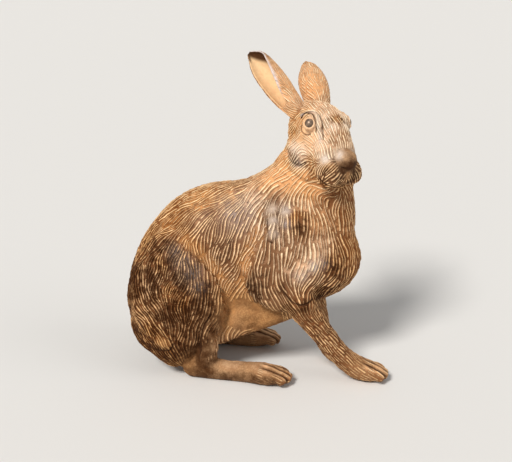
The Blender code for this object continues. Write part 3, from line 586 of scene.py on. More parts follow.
# The same on the head, in its own frame
HEAD_TONES = [
    (6, -3, 19, 0.1, 0.4), (1, -9, 18, 0.05, 0.5), (9, -6.5, 18, 0.02, 0.2), (17, -5.5, 15, 0, 0.1),
    (25, -4, 11, 0, 0.2), (30, -3, 8, 0.1, 0.4), (12, 2, 17, 0.3, 0.9), (24, 3, 10, 0.4, 0.9),
    (20, -12, 2, 0, 0.25), (12, -16, 0, 0, 0.6), (4, -18, -2, 0.02, 0.8), (4, -19, -12, 0, 0.2),
    (9, -17, -9, 0, 0.2), (9, -16, -20, 0.35, 0.2), (4, -18, -19, 0.35, 0.3), (3, -19, -26, 0, 0.95),
    (-8, -20, -24, 0.05, 0.95), (10, -18, -27, 0, 0.9), (17, -16, -25, 0.05, 0.9),
    (24, -13, -26, 0.15, 0.9), (-14, -16, -12, 0.05, 0.95), (20, -14.5, -13, 0.15, 0.9),
    (26, -11, -20, 0.3, 0.95), (-6, -16, -4, 0.15, 1), (-10, -14, 4, 0.12, 0.9), (-4, -15, 10, 0.1, 0.9),
    (34, -6.5, 3, 0.2, 0.1), (34, 0, 6, 0.5, 0.6), (39, -2.5, 4, 0.6, 0.6), (41, -4.5, 0, 0.9, 0.6),
    (41, -4, -4, 0.95, 0.5), (42, 1, -1, 0.95, 0.5), (29.5, -13, -3, 0.18, 0), (34, -12, -6, 0.15, 1),
    (39, -14, -8.5, 0.65, 0.6), (34, -17, -11, 0.3, 0.6), (42, -9, -11, 0.4, 0.6), (43, 0, -8, 0.2, 0.9),
    (43, 6, -12, 0.7, 0.6), (36, -14, -19, 0.5, 0.9), (41, 0, -19, 0.7, 0.8), (-20, -10, 12, 0.1, 0.6),
    (-15, -9, 11, 0.1, 0.6), (-40, -17, 14, 0.28, 0.95), (-70, -23, 19, 0.4, 0.8), (-24, 7, 16, 0, 0.85),
    (-34, 10, 18, 0, 0.8), (-44, 12, 20, 0.02, 0.7), (-38, 19, 22, 0.05, 0.7),
]
# Patches: a place, how far they reach and how strong they are. Where the patina is rubbed to a lilac grey,
# with a painted sheen on it
GREY = [
    (13, -21, 128, 3.6, 1.3), (15, -26, 121, 3.6, 1.3), (16, -30, 113, 3.2, 1.3), (23, -23, 128, 4.2, 1.2),
    (24, -28, 120, 3.5, 1), (-12, -25, 126, 15, 0.7), (-34, -25, 122, 12, 0.2), (36, -31, 84, 5, 0.8),
    (45, -31, 90, 5, 1), (50, -28, 92, 5, 0.8), (-54, -35, 97, 6, 0.5), (-47, -37, 91, 7, 0.75),
    (-41, -38, 84, 7, 0.7), (-36, -42, 74, 6, 0.5),
]
HEAD_GREY = [
    (9, -16, -19, 4, 0.9), (29.5, -13, -2.8, 3.2, 1.3), (34, -6.5, 3.2, 3.4, 1.3),
    (6, -18.5, -12, 4.5, 0.6),
]
# Where the ridges are painted nearly black, as painted shade under the nose, on the pads, in hollows and under
# the limbs
SHADE_PATCHES = [
    (-2, -32, 73, 5, 0.9), (3, -33, 66, 4, 0.8), (60, -18, 71, 8, 0.6), (-42, -36, 92, 7, 0.5),
    (-36, -41, 34, 5, 0.5), (-62, -44, 22, 9, 0.5), (6, -24, 120, 3, 0.8), (18, -27, 112, 3.5, 0.6),
]
HEAD_SHADE_PATCHES = [
    (41, -5, -2.5, 3.4, 1.3), (42.5, 1, -1, 3.6, 1.3), (38, -14.5, -8.5, 4, 1), (42, -9, -9, 3.6, 1),
    (43, 6, -8, 4, 1.2), (7, -17.6, -19.5, 4.2, 0.9), (14, 6, 16, 4, 0.7), (13.5, -15, -17, 2.6, 0.6),
]
# Where the strokes are short, wide apart and close together
SHORT_FUR = [
    (-58, -42, 80, 22, 1), (-44, -42, 70, 12, 0.7), (-22, -28, 86, 14, 0.8), (20, -30, 112, 8, 0.5),
]
WIDE_FUR = [(14, -28, 108, 26, 1), (30, -16, 148, 22, 1), (0, -30, 80, 18, 0.6), (-74, -44, 44, 12, 0.8)]
CLOSE_FUR = [
    (-30, -14, 134, 26, 1), (-62, -20, 116, 24, 1), (-58, -42, 70, 24, 1), (-80, -30, 50, 20, 0.8),
    (-24, -28, 90, 16, 0.6),
]
# Where the surface is left smooth, with no strokes
BARE = [
    (10, -22, 44, 17, 1), (-8, -24, 48, 17, 1), (-24, -26, 48, 15, 1), (-28, -26, 36, 9, 1),
    (0, 0, 34, 26, 1), (-30, 0, 34, 24, 1), (-36, -36, 20, 11, 1), (-22, -34, 8, 16, 1.1),
    (-2, -35, 8, 14, 1.1), (14, -37, 8, 10, 1), (-38, 29, 8, 16, 1.1), (-18, 29, 8, 14, 1.1),
    (0, 30, 10, 13, 1.1), (-40, -38, 8, 13, 1.2), (-36, -38, 24, 7, 1.2), (-29, -41, 26, 6, 1.2),
    (-28, -40, 36, 4, 0.9), (80, -18, 10, 11, 0.8), (92, -17, 7, 9, 0.8), (66, 10, 6, 11, 0.8),
    (40, 0, 46, 16, 0.9), (13, -21, 128, 3.8, 1), (15, -26, 121, 3.8, 1), (16, -30, 113, 3.2, 1),
    (23, -24, 127, 3.4, 0.8), (-62, -47, 31, 4, 0.8),
]
HEAD_BARE = [
    (7, -17, 10, 6, 1.3), (5, -17, 5, 5, 1), (36, -3, 2, 7, 1.3), (40, -3, -3, 5, 1.2),
    (29.5, -13.6, -4, 3.6, 1.1), (43, 0, -9, 2.5, 1), (4, -18, -3, 5, 0.66),
]
# The ears' own axes in the head's frame, from root to tip
EAR_AXES = {
    EARS[0]: [(-10, -8, 3), (-20, -11.5, 7.5), (-38, -16.8, 12.8), (-58, -21.6, 18), (-73.5, -23.4, 19.8)],
    EARS[1]: [(-10, 8, 5), (-19.3, 10.3, 9.4), (-34.5, 14.2, 13.9), (-49.5, 19.8, 17), (-60.2, 23.2, 19.4)],
}
# Steps of the surface on both sides: the path in x and z, which runs down with the raised part to its left,
# how high, how far it reaches, how far the hollow on the right does, how wavy, and how warm the hollow is
STEPS = [
    ([(-57, 107), (-47, 99), (-36, 90), (-25.5, 77), (-20.5, 60), (-21, 44),
       (-27, 27)], -1.4, 7, 6, 0.8, 1.0),
    ([(10, 122), (6, 112), (2, 98), (-3, 82), (-3, 71), (2, 63), (14, 57)], 1.4, 7, 7, 1.3, 0.9),
    ([(9, 132), (6, 124), (11, 116), (9, 108), (13, 104)], 0.8, 9, 3, 0.5, 0.7),
]
FLOW_BLUR = 9
TONE_BLUR = 6


def both_sides(rows, in_head=False):
    """Places of a table and their mirror images in the hare's frame, each with its way or other values."""
    out = []
    for row in rows:
        for hand in (1, -1) if abs(row[1]) > 0.01 else (1,):
            mirror = (1, hand, 1)
            here = np.array(row[:3], float) * mirror
            rest = row[3:]
            if len(rest) == 3:
                rest = np.array(rest, float) * mirror
                rest = (head_way(rest) if in_head else rest) / np.linalg.norm(rest)
            out.append((on_head(here) if in_head else here, *rest))
    return out


def patches(points, rows, head_rows=()):
    """How strongly each point lies in the patches, from 0 to a little over 1."""
    total = np.zeros(len(points))
    for place, radius, strength in both_sides(rows) + both_sides(head_rows, True):
        total = np.maximum(total, strength * bell(length_of(points - place), radius))
    return np.clip(total, 0, 1.3)


def along_surface(ways, normals):
    return unit(ways - normals * np.sum(ways * normals, axis=1)[:, None])


def turned(ways, normals, angle):
    return ways * np.cos(angle)[:, None] + np.cross(normals, ways) * np.sin(angle)[:, None]


def shaped(skin):
    """Raises the edges of haunch and upper arm, and returns a pale warm band in the hollows beside them,
    partly worn patina and partly painted light.
    """
    outward = ramp(10, 22, np.abs(skin.points[:, 1]))
    amount = np.zeros(skin.count)
    band = np.zeros(skin.count)
    for path, height, reach, hollow, wavy, warm in STEPS:
        away, along, length = beside(skin.points, path)
        away = away * np.sign(height) + wavy * np.sin(along * 0.9) * np.exp(-np.abs(away) / 5)
        ends = ramp(0, 8, along) * ramp(0, 8, length - along)
        edge = ramp(0, 0.8, away)
        raised = np.where(away > 0, np.exp(-away / reach), 0) * edge
        sunk = np.where(away < 0, np.exp(away / (hollow * 0.6)), 1 - edge)
        amount += abs(height) * (raised - 0.8 * sunk * (away < 0.8)) * ends * outward
        lit = bell(away + hollow * 0.55, hollow * 0.6) * warm
        band = np.maximum(band, lit * ends * outward)
    skin.move(amount)
    return band


class Strokes:
    """Evenly spaced strokes that follow a flow over a skin."""

    STEP = 0.55
    TAPER = 1.6
    # The fewest places of a stroke, and the room that it needs to start and to go on, in shares of the gap
    FEWEST = 5
    START_ROOM = 0.9
    SIDE_ROOM = 0.55
    # It ends where the flow or the surface turns by more than these cosines in one step
    FLOW_TURN = 0.6
    SURFACE_TURN = 0.5
    NEIGHBOURS = 12

    def __init__(self, skin, flow, gap, reach):
        self.skin = skin
        self.tree = skin.tree()
        self.normals = skin.normals()
        self.flow = flow
        self.gap = gap
        self.reach = reach
        self.cell = float(gap.max())
        self.grid = {}
        self.lines = []

    def local(self, place):
        """The nearest surface place, its flow, normal, gap and reach."""
        spot, normal, face, _ = self.tree.find_nearest(place)
        if face is None:
            return None
        corner = self.skin.triangles[face][0]
        return spot, Vector(self.flow[corner]), normal, self.gap[corner], self.reach[corner]

    def key(self, p):
        return int(p[0] // self.cell), int(p[1] // self.cell), int(p[2] // self.cell)

    def crowded(self, p, limit, own=None):
        """True where another stroke than the own one lies nearer than the limit."""
        limit *= limit
        for cell in itertools.product(*((i - 1, i, i + 1) for i in self.key(p))):
            for q, line in self.grid.get(cell, ()):
                if line != own and (q[0] - p[0]) ** 2 + (q[1] - p[1]) ** 2 + (q[2] - p[2]) ** 2 < limit:
                    return True
        return False

    def half(self, first, hand, length, number):
        """The places of a stroke from its first one on, against the flow where hand is -1."""
        place, way, normal, *_ = first
        places = []
        travelled = 0.0
        while travelled < length:
            found = self.local(place + way * (hand * self.STEP))
            if found is None or found[3] <= 0 or self.crowded(found[0], found[3] * self.SIDE_ROOM, number):
                break
            if found[1].dot(way) < self.FLOW_TURN or found[2].dot(normal) < self.SURFACE_TURN:
                break
            place, way, normal, *_ = found
            places.append(found)
            travelled += self.STEP
        return places

    def trace(self, start, share):
        """One stroke through start, or None where there is no room."""
        first = self.local(start)
        if first is None or first[3] <= 0 or self.crowded(first[0], first[3] * self.START_ROOM):
            return None
        number = len(self.lines)
        length = first[4] * share * 0.5
        ahead = self.half(first, 1, length, number)
        line = self.half(first, -1, length, number)[::-1] + [first] + ahead
        if len(line) < self.FEWEST:
            return None
        self.lines.append(line)
        for place, *_ in line:
            self.grid.setdefault(self.key(place), []).append((tuple(place), number))
        return line

    def fill(self, rng):
        """Lays strokes beside strokes until no room is left."""
        live = np.flatnonzero(self.gap > 0)
        for seed in rng.permutation(live)[: max(len(live) // 40, 50)]:
            line = self.trace(Vector(self.skin.points[seed]), rng.uniform(0.5, 1.0))
            queue = [line] if line else []
            while queue:
                line = queue.pop(0)
                for place, way, normal, gap, _ in line[1::3]:
                    side = normal.cross(way)
                    for hand in (1, -1):
                        start = place + side * (hand * gap * rng.uniform(0.98, 1.12))
                        another = self.trace(start, rng.uniform(0.45, 1.0))
                        if another:
                            queue.append(another)

    def phases(self):
        """Where each point lies between two strokes, as an angle's cosine and sine, the strength and the lot.

        The angle is 0 in a stroke and half a turn midway to the next, so it stays sharp between the points.
        """
        kd = KDTree(sum(len(line) for line in self.lines))
        ways = []
        strength = []
        owner = []
        for number, line in enumerate(self.lines):
            last = len(line) - 1
            for k, (place, way, *_) in enumerate(line):
                kd.insert(place, len(ways))
                ways.append(way)
                strength.append(min(1.0, (min(k, last - k) + 0.4) * self.STEP / self.TAPER))
                owner.append(number)
        kd.balance()
        lot = np.random.default_rng(5).random(len(self.lines))
        cosine = np.full(self.skin.count, -1.0)
        own = np.full(self.skin.count, 0.5)
        sine = np.zeros(self.skin.count)
        force = np.zeros(self.skin.count)
        for v in np.flatnonzero(self.gap > 0):
            point = Vector(self.skin.points[v])
            found = kd.find_n(point, self.NEIGHBOURS)
            place, index, _ = found[0]
            way = ways[index]
            away = point - place
            along = away.dot(way)
            side = Vector(self.normals[v]).cross(way)
            across = away.dot(side)
            near = math.sqrt(max(away.length_squared - along * along, 0.0))
            gap = self.gap[v]
            other = max(gap - near, gap * 0.5)
            for spot, i, distance in found[1:]:
                if owner[i] != owner[index] and (spot - place).dot(side) * across > 0:
                    other = min(distance, gap)
                    break
            angle = min(2 * math.pi * near / (near + other), math.pi)
            cosine[v] = math.cos(angle)
            sine[v] = math.copysign(math.sin(angle), across)
            own[v] = lot[owner[index]]
            beyond = max(abs(along) - self.STEP, 0.0)
            force[v] = strength[index] * math.exp(-((beyond / 0.8) ** 2))
        return cosine, sine, force, own


# The figure's skin, its strokes and its patina

# Gap, longest reach and depth of strokes on the trunk, and how much less on head, ears, forelegs and hind feet
GAP = (2.35, 0.5, 0.8, 0.5, 0.5)
REACH = (48, 26, 30, 30, 34)
DEPTH = (0.55, 0.2, 0.35, 0.2, 0.3)
# Strokes end where the surface is barer than this, and under this height
BAREST = 0.62
LOWEST = 0.4
# The depth at which a stroke is drawn at full strength
DRAWN_DEPTH = 0.24
# How narrow the strands are, and how far the skin is lowered between them and where there are none
STRAND_POWER = 1.2
STRAND_BASE = 0.45
BARE_BASE = 0.2
# Rounds of blurring: of the castings' borders, of the normals that the strokes follow, and round the ears
BORDER_BLUR = 8
NORMAL_BLUR = 12
EAR_BLUR = 30
# Waves that the strokes swerve by and that the surface is lumpy by: how much, how long and which seed
SWERVE = ((0.22, 14, 3), (0.14, 30, 4))
LUMPS = ((0.16, 7, 6), (0.07, 2.8, 7))


def by_zone(values, zones):
    """A value at each point, from the one on the trunk and how much less it is in each zone."""
    total = values[0]
    for less, zone in zip(values[1:], zones):
        total = total - less * zone
    return total


def rippled(points, rows):
    return sum(much * waves(points, length, seed) for much, length, seed in rows)


def ear_values(skin, part, normals, flow):
    """Combs the ears, and returns how far each point is in the cup, on the rim, beside it and in the painted
    shadow under the rim at the tip.
    """
    cup, rim, lined, tip_shadow = np.zeros((4, skin.count))
    for name, path in EAR_AXES.items():
        ear = np.flatnonzero(part[name] > 0.5)
        points = skin.points[ear]
        axis = np.array(curved([on_head(p) for p in path], 8))
        _, along, place, _, length = nearest_on(points, axis)
        along /= length
        way = axis[-1] - axis[0]
        way /= np.linalg.norm(way)
        flow[ear] = along_surface(way - np.array([0, 0, 0.5]), normals[ear])
        away = points - place
        facing = np.sum(unit(away) * normals[ear], axis=1)
        inside = ramp(0.1, -0.35, facing)
        cup[ear] = inside
        # The edge towards the other ear is painted pale, as rubbed metal with a painted highlight on it, with
        # a dark line of painted shade along the lining
        hand = -math.copysign(1, path[0][1])
        inward = away @ head_way((0.25, 0.55 * hand, 0.8))
        from_rim = distance_to(points, points[np.abs(inside - 0.5) < 0.35])
        beyond_root = ramp(0.1, 0.25, along)
        wide = 0.9 + 1.3 * bell(along - 0.5, 0.17)
        rim[ear] = np.exp(-((from_rim / wide) ** 4)) * ramp(0.75, 0.4, inside)
        rim[ear] *= beyond_root * ramp(-1, 1, inward)
        lined[ear] = bell(from_rim - 0.9, 0.75) * ramp(0.5, 0.9, inside)
        lined[ear] *= beyond_root * ramp(-4, -2.5, inward)
        # Painted shadow in the cup, under the curled rim at the tip
        tip_shadow[ear] = ramp(-0.05, 0.05, along - 0.93 + 0.03 * inward)
    return cup, rim, lined, tip_shadow


def carved(skin):
    """Carves the fur into the skin, and returns the values that its patina is made from."""
    names = CASTINGS + EARS
    label = nearest_nodes(skin.points, names)
    member = [skin.blurred((label == k).astype(float), BORDER_BLUR) for k in range(len(names))]
    label = np.argmax(member, axis=0)
    part = dict(zip(names, member))
    band = shaped(skin)
    normals = unit(skin.blurred(skin.normals(), NORMAL_BLUR))
    rows = both_sides(BODY_FLOW) + both_sides(HEAD_FLOW, True)
    flow = along_surface(weighed(skin.points, rows, FLOW_BLUR, -2.5), normals)
    cup, rim, lined, tip_shadow = ear_values(skin, part, normals, flow)
    points = skin.points
    short = patches(points, SHORT_FUR)
    swerve = rippled(points, SWERVE)
    swerve += (1 - part["head_shell"]) * 0.16 * waves(points, 7, 8) * (0.3 + short)
    flow = along_surface(turned(flow, normals, swerve), normals)

    bare = patches(points, BARE, HEAD_BARE)
    head = part["head_shell"] * ramp(-6, 6, (points - NECK_PLACE) @ NECK_WAY)
    ears = skin.blurred(part["ear_right"] + part["ear_left"], EAR_BLUR)
    paws = part["foreleg_right"] + part["foreleg_left"]
    feet = part["hind_foot_right"] + part["hind_foot_left"]
    trunk = 1 - head - ears - paws - feet
    zones = (head, ears, paws, feet)
    low = points[:, 2]
    gap = by_zone(GAP, zones) * (1 + 0.2 * np.clip(waves(points, 11, 12), -1, 1))
    gap += trunk * (0.5 * patches(points, WIDE_FUR) - 0.6 * patches(points, CLOSE_FUR))
    none = (bare > BAREST) | (cup > 0.5) | (low < LOWEST)
    gap[none] = 0
    strokes = Strokes(skin, flow, gap, by_zone(REACH, zones) * (1 - 0.7 * short))
    strokes.fill(random)
    cosine, sine, force, own = strokes.phases()
    depth = by_zone(DEPTH, zones)
    depth *= 1 - 0.7 * ramp(0.2, BAREST, np.maximum(bare, 0.5 * skin.lit))
    depth *= 1 + 0.25 * waves(points, 9, 5)
    force *= np.clip(depth / DRAWN_DEPTH, 0, 1) * (1 - 0.25 * ears)
    strand = (0.5 + 0.5 * cosine) ** STRAND_POWER * force - STRAND_BASE
    strand[none] = -BARE_BASE
    fade = ramp(0.3, 1.5, low)
    lumps = rippled(points, LUMPS) * fade * (1 - ears)
    skin.move(strand * np.clip(depth, 0, None) * fade + lumps)
    points = skin.points
    tone, warm = weighed(points, both_sides(TONES) + both_sides(HEAD_TONES, True), TONE_BLUR, -2).T
    values = {
        "across": cosine,
        "over": sine,
        "force": force,
        "own": np.clip(own + 0.42 * head, 0, 1),
        # Paler on the toe tops and the collar's crest, a painted highlight
        "tone": np.clip(tone - 0.3 * skin.lit, 0, 1),
        "warm": warm,
        "grey": np.maximum(patches(points, GREY, HEAD_GREY), skin.brow),
        "band": band,
        "bare": np.clip(bare, 0, 1),
        "inner": cup,
        "rim": rim,
        "cut": np.maximum(skin.cut, 0.9 * lined),
        "painted_shade": np.clip(patches(points, SHADE_PATCHES, HEAD_SHADE_PATCHES), 0, 1),
        "tip_shadow": tip_shadow * cup,
    }
    return names, label, values


def pieces(skin, names, label, values):
    """Cuts the skin into one closed piece for each casting."""
    owner = np.sort(label[skin.triangles], axis=1)[:, 1]
    made = {}
    for number, name in enumerate(names):
        mine = skin.triangles[owner == number]
        used, index = np.unique(mine, return_inverse=True)
        faces = index.reshape(mine.shape)
        piece = bpy.data.meshes.new(name + "_skin")
        piece.from_pydata((skin.points[used] * MM).tolist(), [], faces.tolist())
        piece.update()
        for key, value in values.items():
            layer = piece.attributes.new(key, "FLOAT", "POINT")
            layer.data.foreach_set("value", value[used].astype(np.float32))
        piece.shade_smooth()
        bm = bmesh.new()
        bm.from_mesh(piece)
        rim = [edge for edge in bm.edges if edge.is_boundary]
        for edge in rim:
            edge.smooth = False
        filled = bmesh.ops.holes_fill(bm, edges=rim, sides=0)["faces"]
        bmesh.ops.triangulate(bm, faces=filled)
        bm.to_mesh(piece)
        bm.free()
        made[name] = linked(name + "_skin", piece)
    return made


# Materials


def fill(tree, node, inputs):
    """Sets inputs of a node to numbers or colours, or links what other nodes give to them."""
    for name, value in inputs.items():
        if isinstance(value, Value):
            tree.links.new(value.socket, node.inputs[name])
        else:
            node.inputs[name].default_value = (*value, 1) if isinstance(value, tuple) else value


class Value:
    """What a node gives, which is reckoned with like a number."""

    def __init__(self, tree, socket):
        self.tree = tree
        self.socket = socket

    def maths(self, operation, *terms):
        node = self.tree.nodes.new("ShaderNodeMath")
        node.operation = operation
        fill(self.tree, node, dict(enumerate(terms)))
        return Value(self.tree, node.outputs[0])

    def __add__(self, other):
        return self.maths("ADD", self, other)

    def __sub__(self, other):
        return self.maths("SUBTRACT", self, other)

    def __rsub__(self, other):
        return self.maths("SUBTRACT", other, self)

    def __mul__(self, other):
        return self.maths("MULTIPLY", self, other)

    def clamped(self):
        self.socket.node.use_clamp = True
        return self

    def spread(self, low, high):
        """Stretches the part between low and high to 0 to 1."""
        node = self.tree.nodes.new("ShaderNodeMapRange")
        node.interpolation_type = "SMOOTHSTEP"
        fill(self.tree, node, {"From Min": low, "From Max": high, "Value": self})
        return Value(self.tree, node.outputs["Result"])

    def mix(self, a, b, blend="MIX"):
        """From one colour to the other, by this value."""
        node = self.tree.nodes.new("ShaderNodeMix")
        node.data_type = "RGBA"
        node.blend_type = blend
        fill(self.tree, node, {0: self, 6: a, 7: b})
        return Value(self.tree, node.outputs[2])

    def graded(self, colours):
        """The colour for a tone from 0 to 1, from three colours."""
        first = self.spread(0.0, 0.5).mix(colours[0], colours[1])
        return self.spread(0.5, 1.0).mix(first, colours[2])


def nodes_of(name):
    material = bpy.data.materials.new(name)
    material.use_nodes = True
    tree = material.node_tree
    return material, tree, tree.nodes["Principled BSDF"]


def attribute(tree, name):
    node = tree.nodes.new("ShaderNodeAttribute")
    node.attribute_name = name
    return Value(tree, node.outputs["Fac"])


def noise_of(tree, scale, detail=3.0, roughness=0.6):
    place = Value(tree, tree.nodes.new("ShaderNodeTexCoord").outputs["Object"])
    node = tree.nodes.new("ShaderNodeTexNoise")
    fill(tree, node, {"Vector": place, "Scale": scale, "Detail": detail, "Roughness": roughness})
    return Value(tree, node.outputs["Fac"])


OCHRE = (0.7, 0.4, 0.2)
ORANGE = (0.42, 0.18, 0.062)
RUST = (0.2, 0.075, 0.028)
# The ridges of the fur, and the strokes between them, where the patina is pale, half dark and dark
RIDGE_WARM = ((0.72, 0.33, 0.11), (0.19, 0.062, 0.016), (0.038, 0.011, 0.003))
RIDGE_COOL = ((0.88, 0.64, 0.46), (0.22, 0.125, 0.07), (0.036, 0.016, 0.007))
STROKE_WARM = ((1.0, 0.74, 0.42), (0.95, 0.55, 0.23), (0.19, 0.072, 0.02))
STROKE_COOL = ((1.0, 0.88, 0.7), (0.97, 0.73, 0.5), (0.2, 0.115, 0.062))
LILAC = ((0.6, 0.5, 0.44), (0.34, 0.275, 0.25), (0.14, 0.11, 0.095))
BAND = (0.62, 0.29, 0.1)
SHADE_BLACK = (0.05, 0.02, 0.009)
SHADE = (0.28, 0.16, 0.095)
TIP_SHADOW_COLOUR = (0.085, 0.036, 0.016)
RIM = (0.72, 0.64, 0.62)
EAR_LINING = (0.8, 0.56, 0.32)
EYE_DARK = (0.12, 0.08, 0.055)
EYE_PALE = (0.36, 0.25, 0.17)
GLOSS_TINT = (1, 0.62, 0.36)
# Noise, in hills per metre
CLOUDS = 55
WEAR = 190
PATCHES = 210
WOBBLE = 320
GRAIN = 900


def patina():
    material, tree, shader = nodes_of("patinated_bronze")
    names = ("across", "over", "force", "own", "tone", "warm", "grey", "bare", "inner", "band")
    across, over, force, own, even, warm, grey, bare, inner, band = (attribute(tree, name) for name in names)
    clouds = noise_of(tree, CLOUDS, 4).spread(0.35, 0.65)
    patchy = noise_of(tree, PATCHES, 4, 0.65)
    patch = patchy.spread(0.35, 0.65)
    grain = noise_of(tree, GRAIN, 3, 0.7)
    # How deep a place lies in a stroke, from its angle between two strokes
    angle = over.maths("ABSOLUTE", over.maths("ARCTAN2", over, across))
    angle = angle + (noise_of(tree, WOBBLE, 2) - 0.5) * 1.3 + (0.5 - own) * 0.7
    line = angle.spread(1.8, 0.6) * force.spread(0.05, 0.6)
    wear = noise_of(tree, WEAR, 4, 0.75).spread(0.36, 0.6)
    drawn = line * ((wear * 0.5 + 0.5) * (own * 0.4 + 0.6))
    # The tone swings about its mean, less where the surface is bare
    swing = (even + 0.3).clamped() * (1 - bare * 0.65)
    tone = (even + (patch * 0.36 + clouds * 0.22 - 0.29) * swing).clamped()
    early = tone.maths("POWER", tone, 0.75)
    # Painted shade: ridges nearly black under the nose, on the pads, in hollows and under the limbs
    painted_shade = (attribute(tree, "painted_shade") * (patch + 0.45)).clamped()
    # Lilac grey where the patina is rubbed, partly a painted sheen
    rubbed_and_sheen = (grey * (patch * 0.7 + 0.4)).clamped()
    ridge = warm.mix(early.graded(RIDGE_COOL), early.graded(RIDGE_WARM))
    ridge = rubbed_and_sheen.mix(ridge, tone.graded(LILAC))
    # A pale warm band in the hollows beside the raised edges, partly worn patina and partly painted light
    ridge = (band * (patch * 0.5 + 0.2)).mix(ridge, BAND)
    ridge = painted_shade.mix(ridge, SHADE_BLACK)
    # Painted shade along one side of each stroke, the side turned away from the key light
    edge = angle.spread(1.1, 1.6) * angle.spread(2.8, 1.9) * (over.spread(0.0, 0.35) * force.spread(0.1, 0.6))
    ridge = (edge * (tone * 0.4 + 0.42)).mix(ridge, SHADE, "MULTIPLY")
    stroke = warm.mix(tone.graded(STROKE_COOL), tone.graded(STROKE_WARM))
    colour = drawn.mix(ridge, stroke)
    # Bare places are stippled instead
    plain = (grain.spread(0.42, 0.66) * 0.25 + 0.28).mix(ridge, stroke)
    colour = (bare * 0.8).mix(colour, plain)
    # The same painted shade on bare places
    colour = (painted_shade * bare).mix(colour, SHADE_BLACK)
    colour = (inner * 0.95).mix(colour, (patch * 0.3).mix(EAR_LINING, OCHRE))
    # Painted shadow inside each ear under its curled tip
    colour = attribute(tree, "tip_shadow").mix(colour, TIP_SHADOW_COLOUR)
    # Pale rim of each ear: rubbed metal with a painted highlight
    colour = (attribute(tree, "rim") * 0.9).mix(colour, RIM)
    colour = (grain.spread(0.6, 0.75) * (tone * 0.5 + 0.1)).mix(colour, RUST)
    # Creases, toe cuts and a line along each ear's lining painted near black, as painted shade
    colour = attribute(tree, "cut").mix(colour, SHADE_BLACK)
    rough = 0.62 - rubbed_and_sheen * 0.08 + grain.spread(0.3, 0.7) * 0.12 - tone * 0.12
    fill(tree, shader, {"Base Color": colour, "Roughness": rough, "Metallic": 0.12})
    fill(tree, shader, {"Specular IOR Level": 0.07, "Specular Tint": GLOSS_TINT})
    # Strands stand above the ground between them by a few tenths of a millimetre
    bump = tree.nodes.new("ShaderNodeBump")
    fill(tree, bump, {"Strength": 0.9, "Distance": 0.0005, "Height": (grain + patchy) * 0.35 + line})
    fill(tree, shader, {"Normal": Value(tree, bump.outputs["Normal"])})
    return material


def eye_bronze():
    material, tree, shader = nodes_of("eye_bronze")
    colour = noise_of(tree, 400).spread(0.4, 0.7).mix(EYE_DARK, EYE_PALE)
    rough = noise_of(tree, GRAIN, 2) * 0.15 + 0.3
    fill(tree, shader, {"Base Color": colour, "Roughness": rough, "Metallic": 0.5})
    return material


def pin_bronze():
    material, tree, shader = nodes_of("pin_bronze")
    colour = noise_of(tree, 500).mix(ORANGE, OCHRE)
    rough = noise_of(tree, GRAIN, 2) * 0.3 + 0.35
    fill(tree, shader, {"Base Color": colour, "Roughness": rough, "Metallic": 0.6})
    return material


def make_hare():
    skin = figure()
    names, label, values = carved(skin)
    bronze = patina()
    for name, obj in pieces(skin, names, label, values).items():
        obj.data.materials.append(bronze)
        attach(obj, "root")
        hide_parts(name)
    bpy.data.objects.remove(skin.obj)


def make_eyes():
    dark = eye_bronze()
    for hand, side in ((-1, "right"), (1, "left")):
        u, v, w = EYE
        place = Matrix.Translation(Vector(on_head((u, hand * v, w)) * MM))
        bm = bmesh.new()
        bmesh.ops.create_uvsphere(bm, u_segments=32, v_segments=20, radius=EYE_RADIUS * MM, matrix=place)
        obj = stored("eyeball_" + side, bm)
        obj.data.shade_smooth()
        obj.data.materials.append(dark)
        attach(obj, "root")
        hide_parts("eye_" + side)


def make_pins():
    """The pins again, with their ends below the carved skin."""
    metal = pin_bronze()
    for name in PINS:
        bm = bmesh.new()
        bm.from_mesh(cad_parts[name].data)
        places = np.array([v.co[:] for v in bm.verts])
        middle = places.mean(axis=0)
        _, _, ways = np.linalg.svd(places - middle)
        along = (places - middle) @ ways[0]
        half = (along.max() - along.min()) / 2
        for vert, far in zip(bm.verts, along):
            vert.co -= Vector(ways[0]) * (far * min(1.0, PIN_SHORTER * MM / half))
        obj = stored(name + "_peened", bm)
        obj.data.materials.append(metal)
        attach(obj, "root")
        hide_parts(name)


# Studio

FLOOR_COLOUR = (0.78, 0.77, 0.75)
FLOOR_HALF = 40
FLOOR_DROP = 0.0002
BACKDROP = (0.72, 0.71, 0.69)
SOFT_LIGHT = 0.3
# Where each lamp stands, its power, its width in degrees and its colour
KEY_LIGHT = ((-0.4, -0.95, 0.95), 3.1, 16, (1, 0.97, 0.93))
FILL_LIGHT = ((0.9, -0.2, 0.5), 0.45, 40, (1, 1, 1))


def make_floor():
    bm = bmesh.new()
    bmesh.ops.create_grid(bm, x_segments=1, y_segments=1, size=FLOOR_HALF)
    floor = stored("floor", bm)
    floor.location.z = -FLOOR_DROP
    material, tree, shader = nodes_of("pale_floor")
    fill(tree, shader, {"Base Color": FLOOR_COLOUR, "Roughness": 0.8})
    floor.data.materials.append(material)


def sun_light(name, way, power, width, colour):
    """Even light that comes from the given way, from a patch of the sky this many degrees wide."""
    light = bpy.data.lights.new(name, "SUN")
    light.energy = power
    light.angle = math.radians(width)
    light.color = colour
    obj = linked(name, light)
    obj.location = way
    obj.rotation_euler = (-Vector(way)).to_track_quat("-Z", "Y").to_euler()


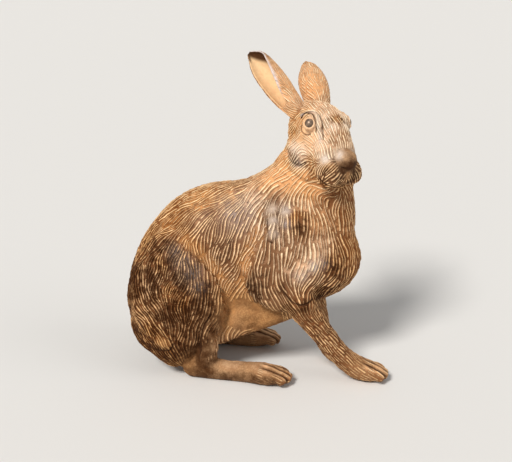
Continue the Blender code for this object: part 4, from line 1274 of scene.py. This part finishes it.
def make_studio():
    make_floor()
    world = bpy.data.worlds.new("studio")
    bpy.context.scene.world = world
    world.use_nodes = True
    tree = world.node_tree
    soft = tree.nodes["Background"]
    fill(tree, soft, {"Color": (1, 1, 1), "Strength": SOFT_LIGHT})
    # The camera and reflections see the backdrop in the floor's own tone
    seen = tree.nodes.new("ShaderNodeBackground")
    fill(tree, seen, {"Color": BACKDROP})
    path = tree.nodes.new("ShaderNodeLightPath")
    rays = ("Is Camera Ray", "Is Glossy Ray", "Is Transmission Ray")
    direct, glossy, through = (Value(tree, path.outputs[name]) for name in rays)
    mix = tree.nodes.new("ShaderNodeMixShader")
    fill(tree, mix, {"Fac": direct.maths("MAXIMUM", direct, glossy.maths("MAXIMUM", glossy, through))})
    tree.links.new(soft.outputs["Background"], mix.inputs[1])
    tree.links.new(seen.outputs["Background"], mix.inputs[2])
    tree.links.new(mix.outputs["Shader"], tree.nodes["World Output"].inputs["Surface"])
    sun_light("key", *KEY_LIGHT)
    sun_light("fill", *FILL_LIGHT)
    bpy.context.scene.view_settings.view_transform = "Standard"


# The camera of the photograph
CAMERA_AZIMUTH = 10
CAMERA_HEIGHT_ANGLE = 17
CAMERA_DISTANCE = 620
CAMERA_TARGET = Vector((-2, 0, 105))
FOCAL_PIXELS = 838
PICTURE_WIDTH = 512
SENSOR_WIDTH = 36


def make_camera():
    azimuth = math.radians(CAMERA_AZIMUTH)
    height = math.radians(CAMERA_HEIGHT_ANGLE)
    level = math.cos(height)
    back = Vector((math.sin(azimuth) * level, -math.cos(azimuth) * level, math.sin(height)))
    data = bpy.data.cameras.new("camera")
    data.sensor_width = SENSOR_WIDTH
    data.lens = FOCAL_PIXELS / PICTURE_WIDTH * SENSOR_WIDTH
    data.clip_start = 0.01
    data.clip_end = 100
    camera = linked("camera", data)
    camera.location = (CAMERA_TARGET + SHIFT + back * CAMERA_DISTANCE) * MM
    camera.rotation_euler = (-back).to_track_quat("-Z", "Y").to_euler()
    bpy.context.scene.camera = camera


make_camera()
make_studio()
make_hare()
make_eyes()
make_pins()
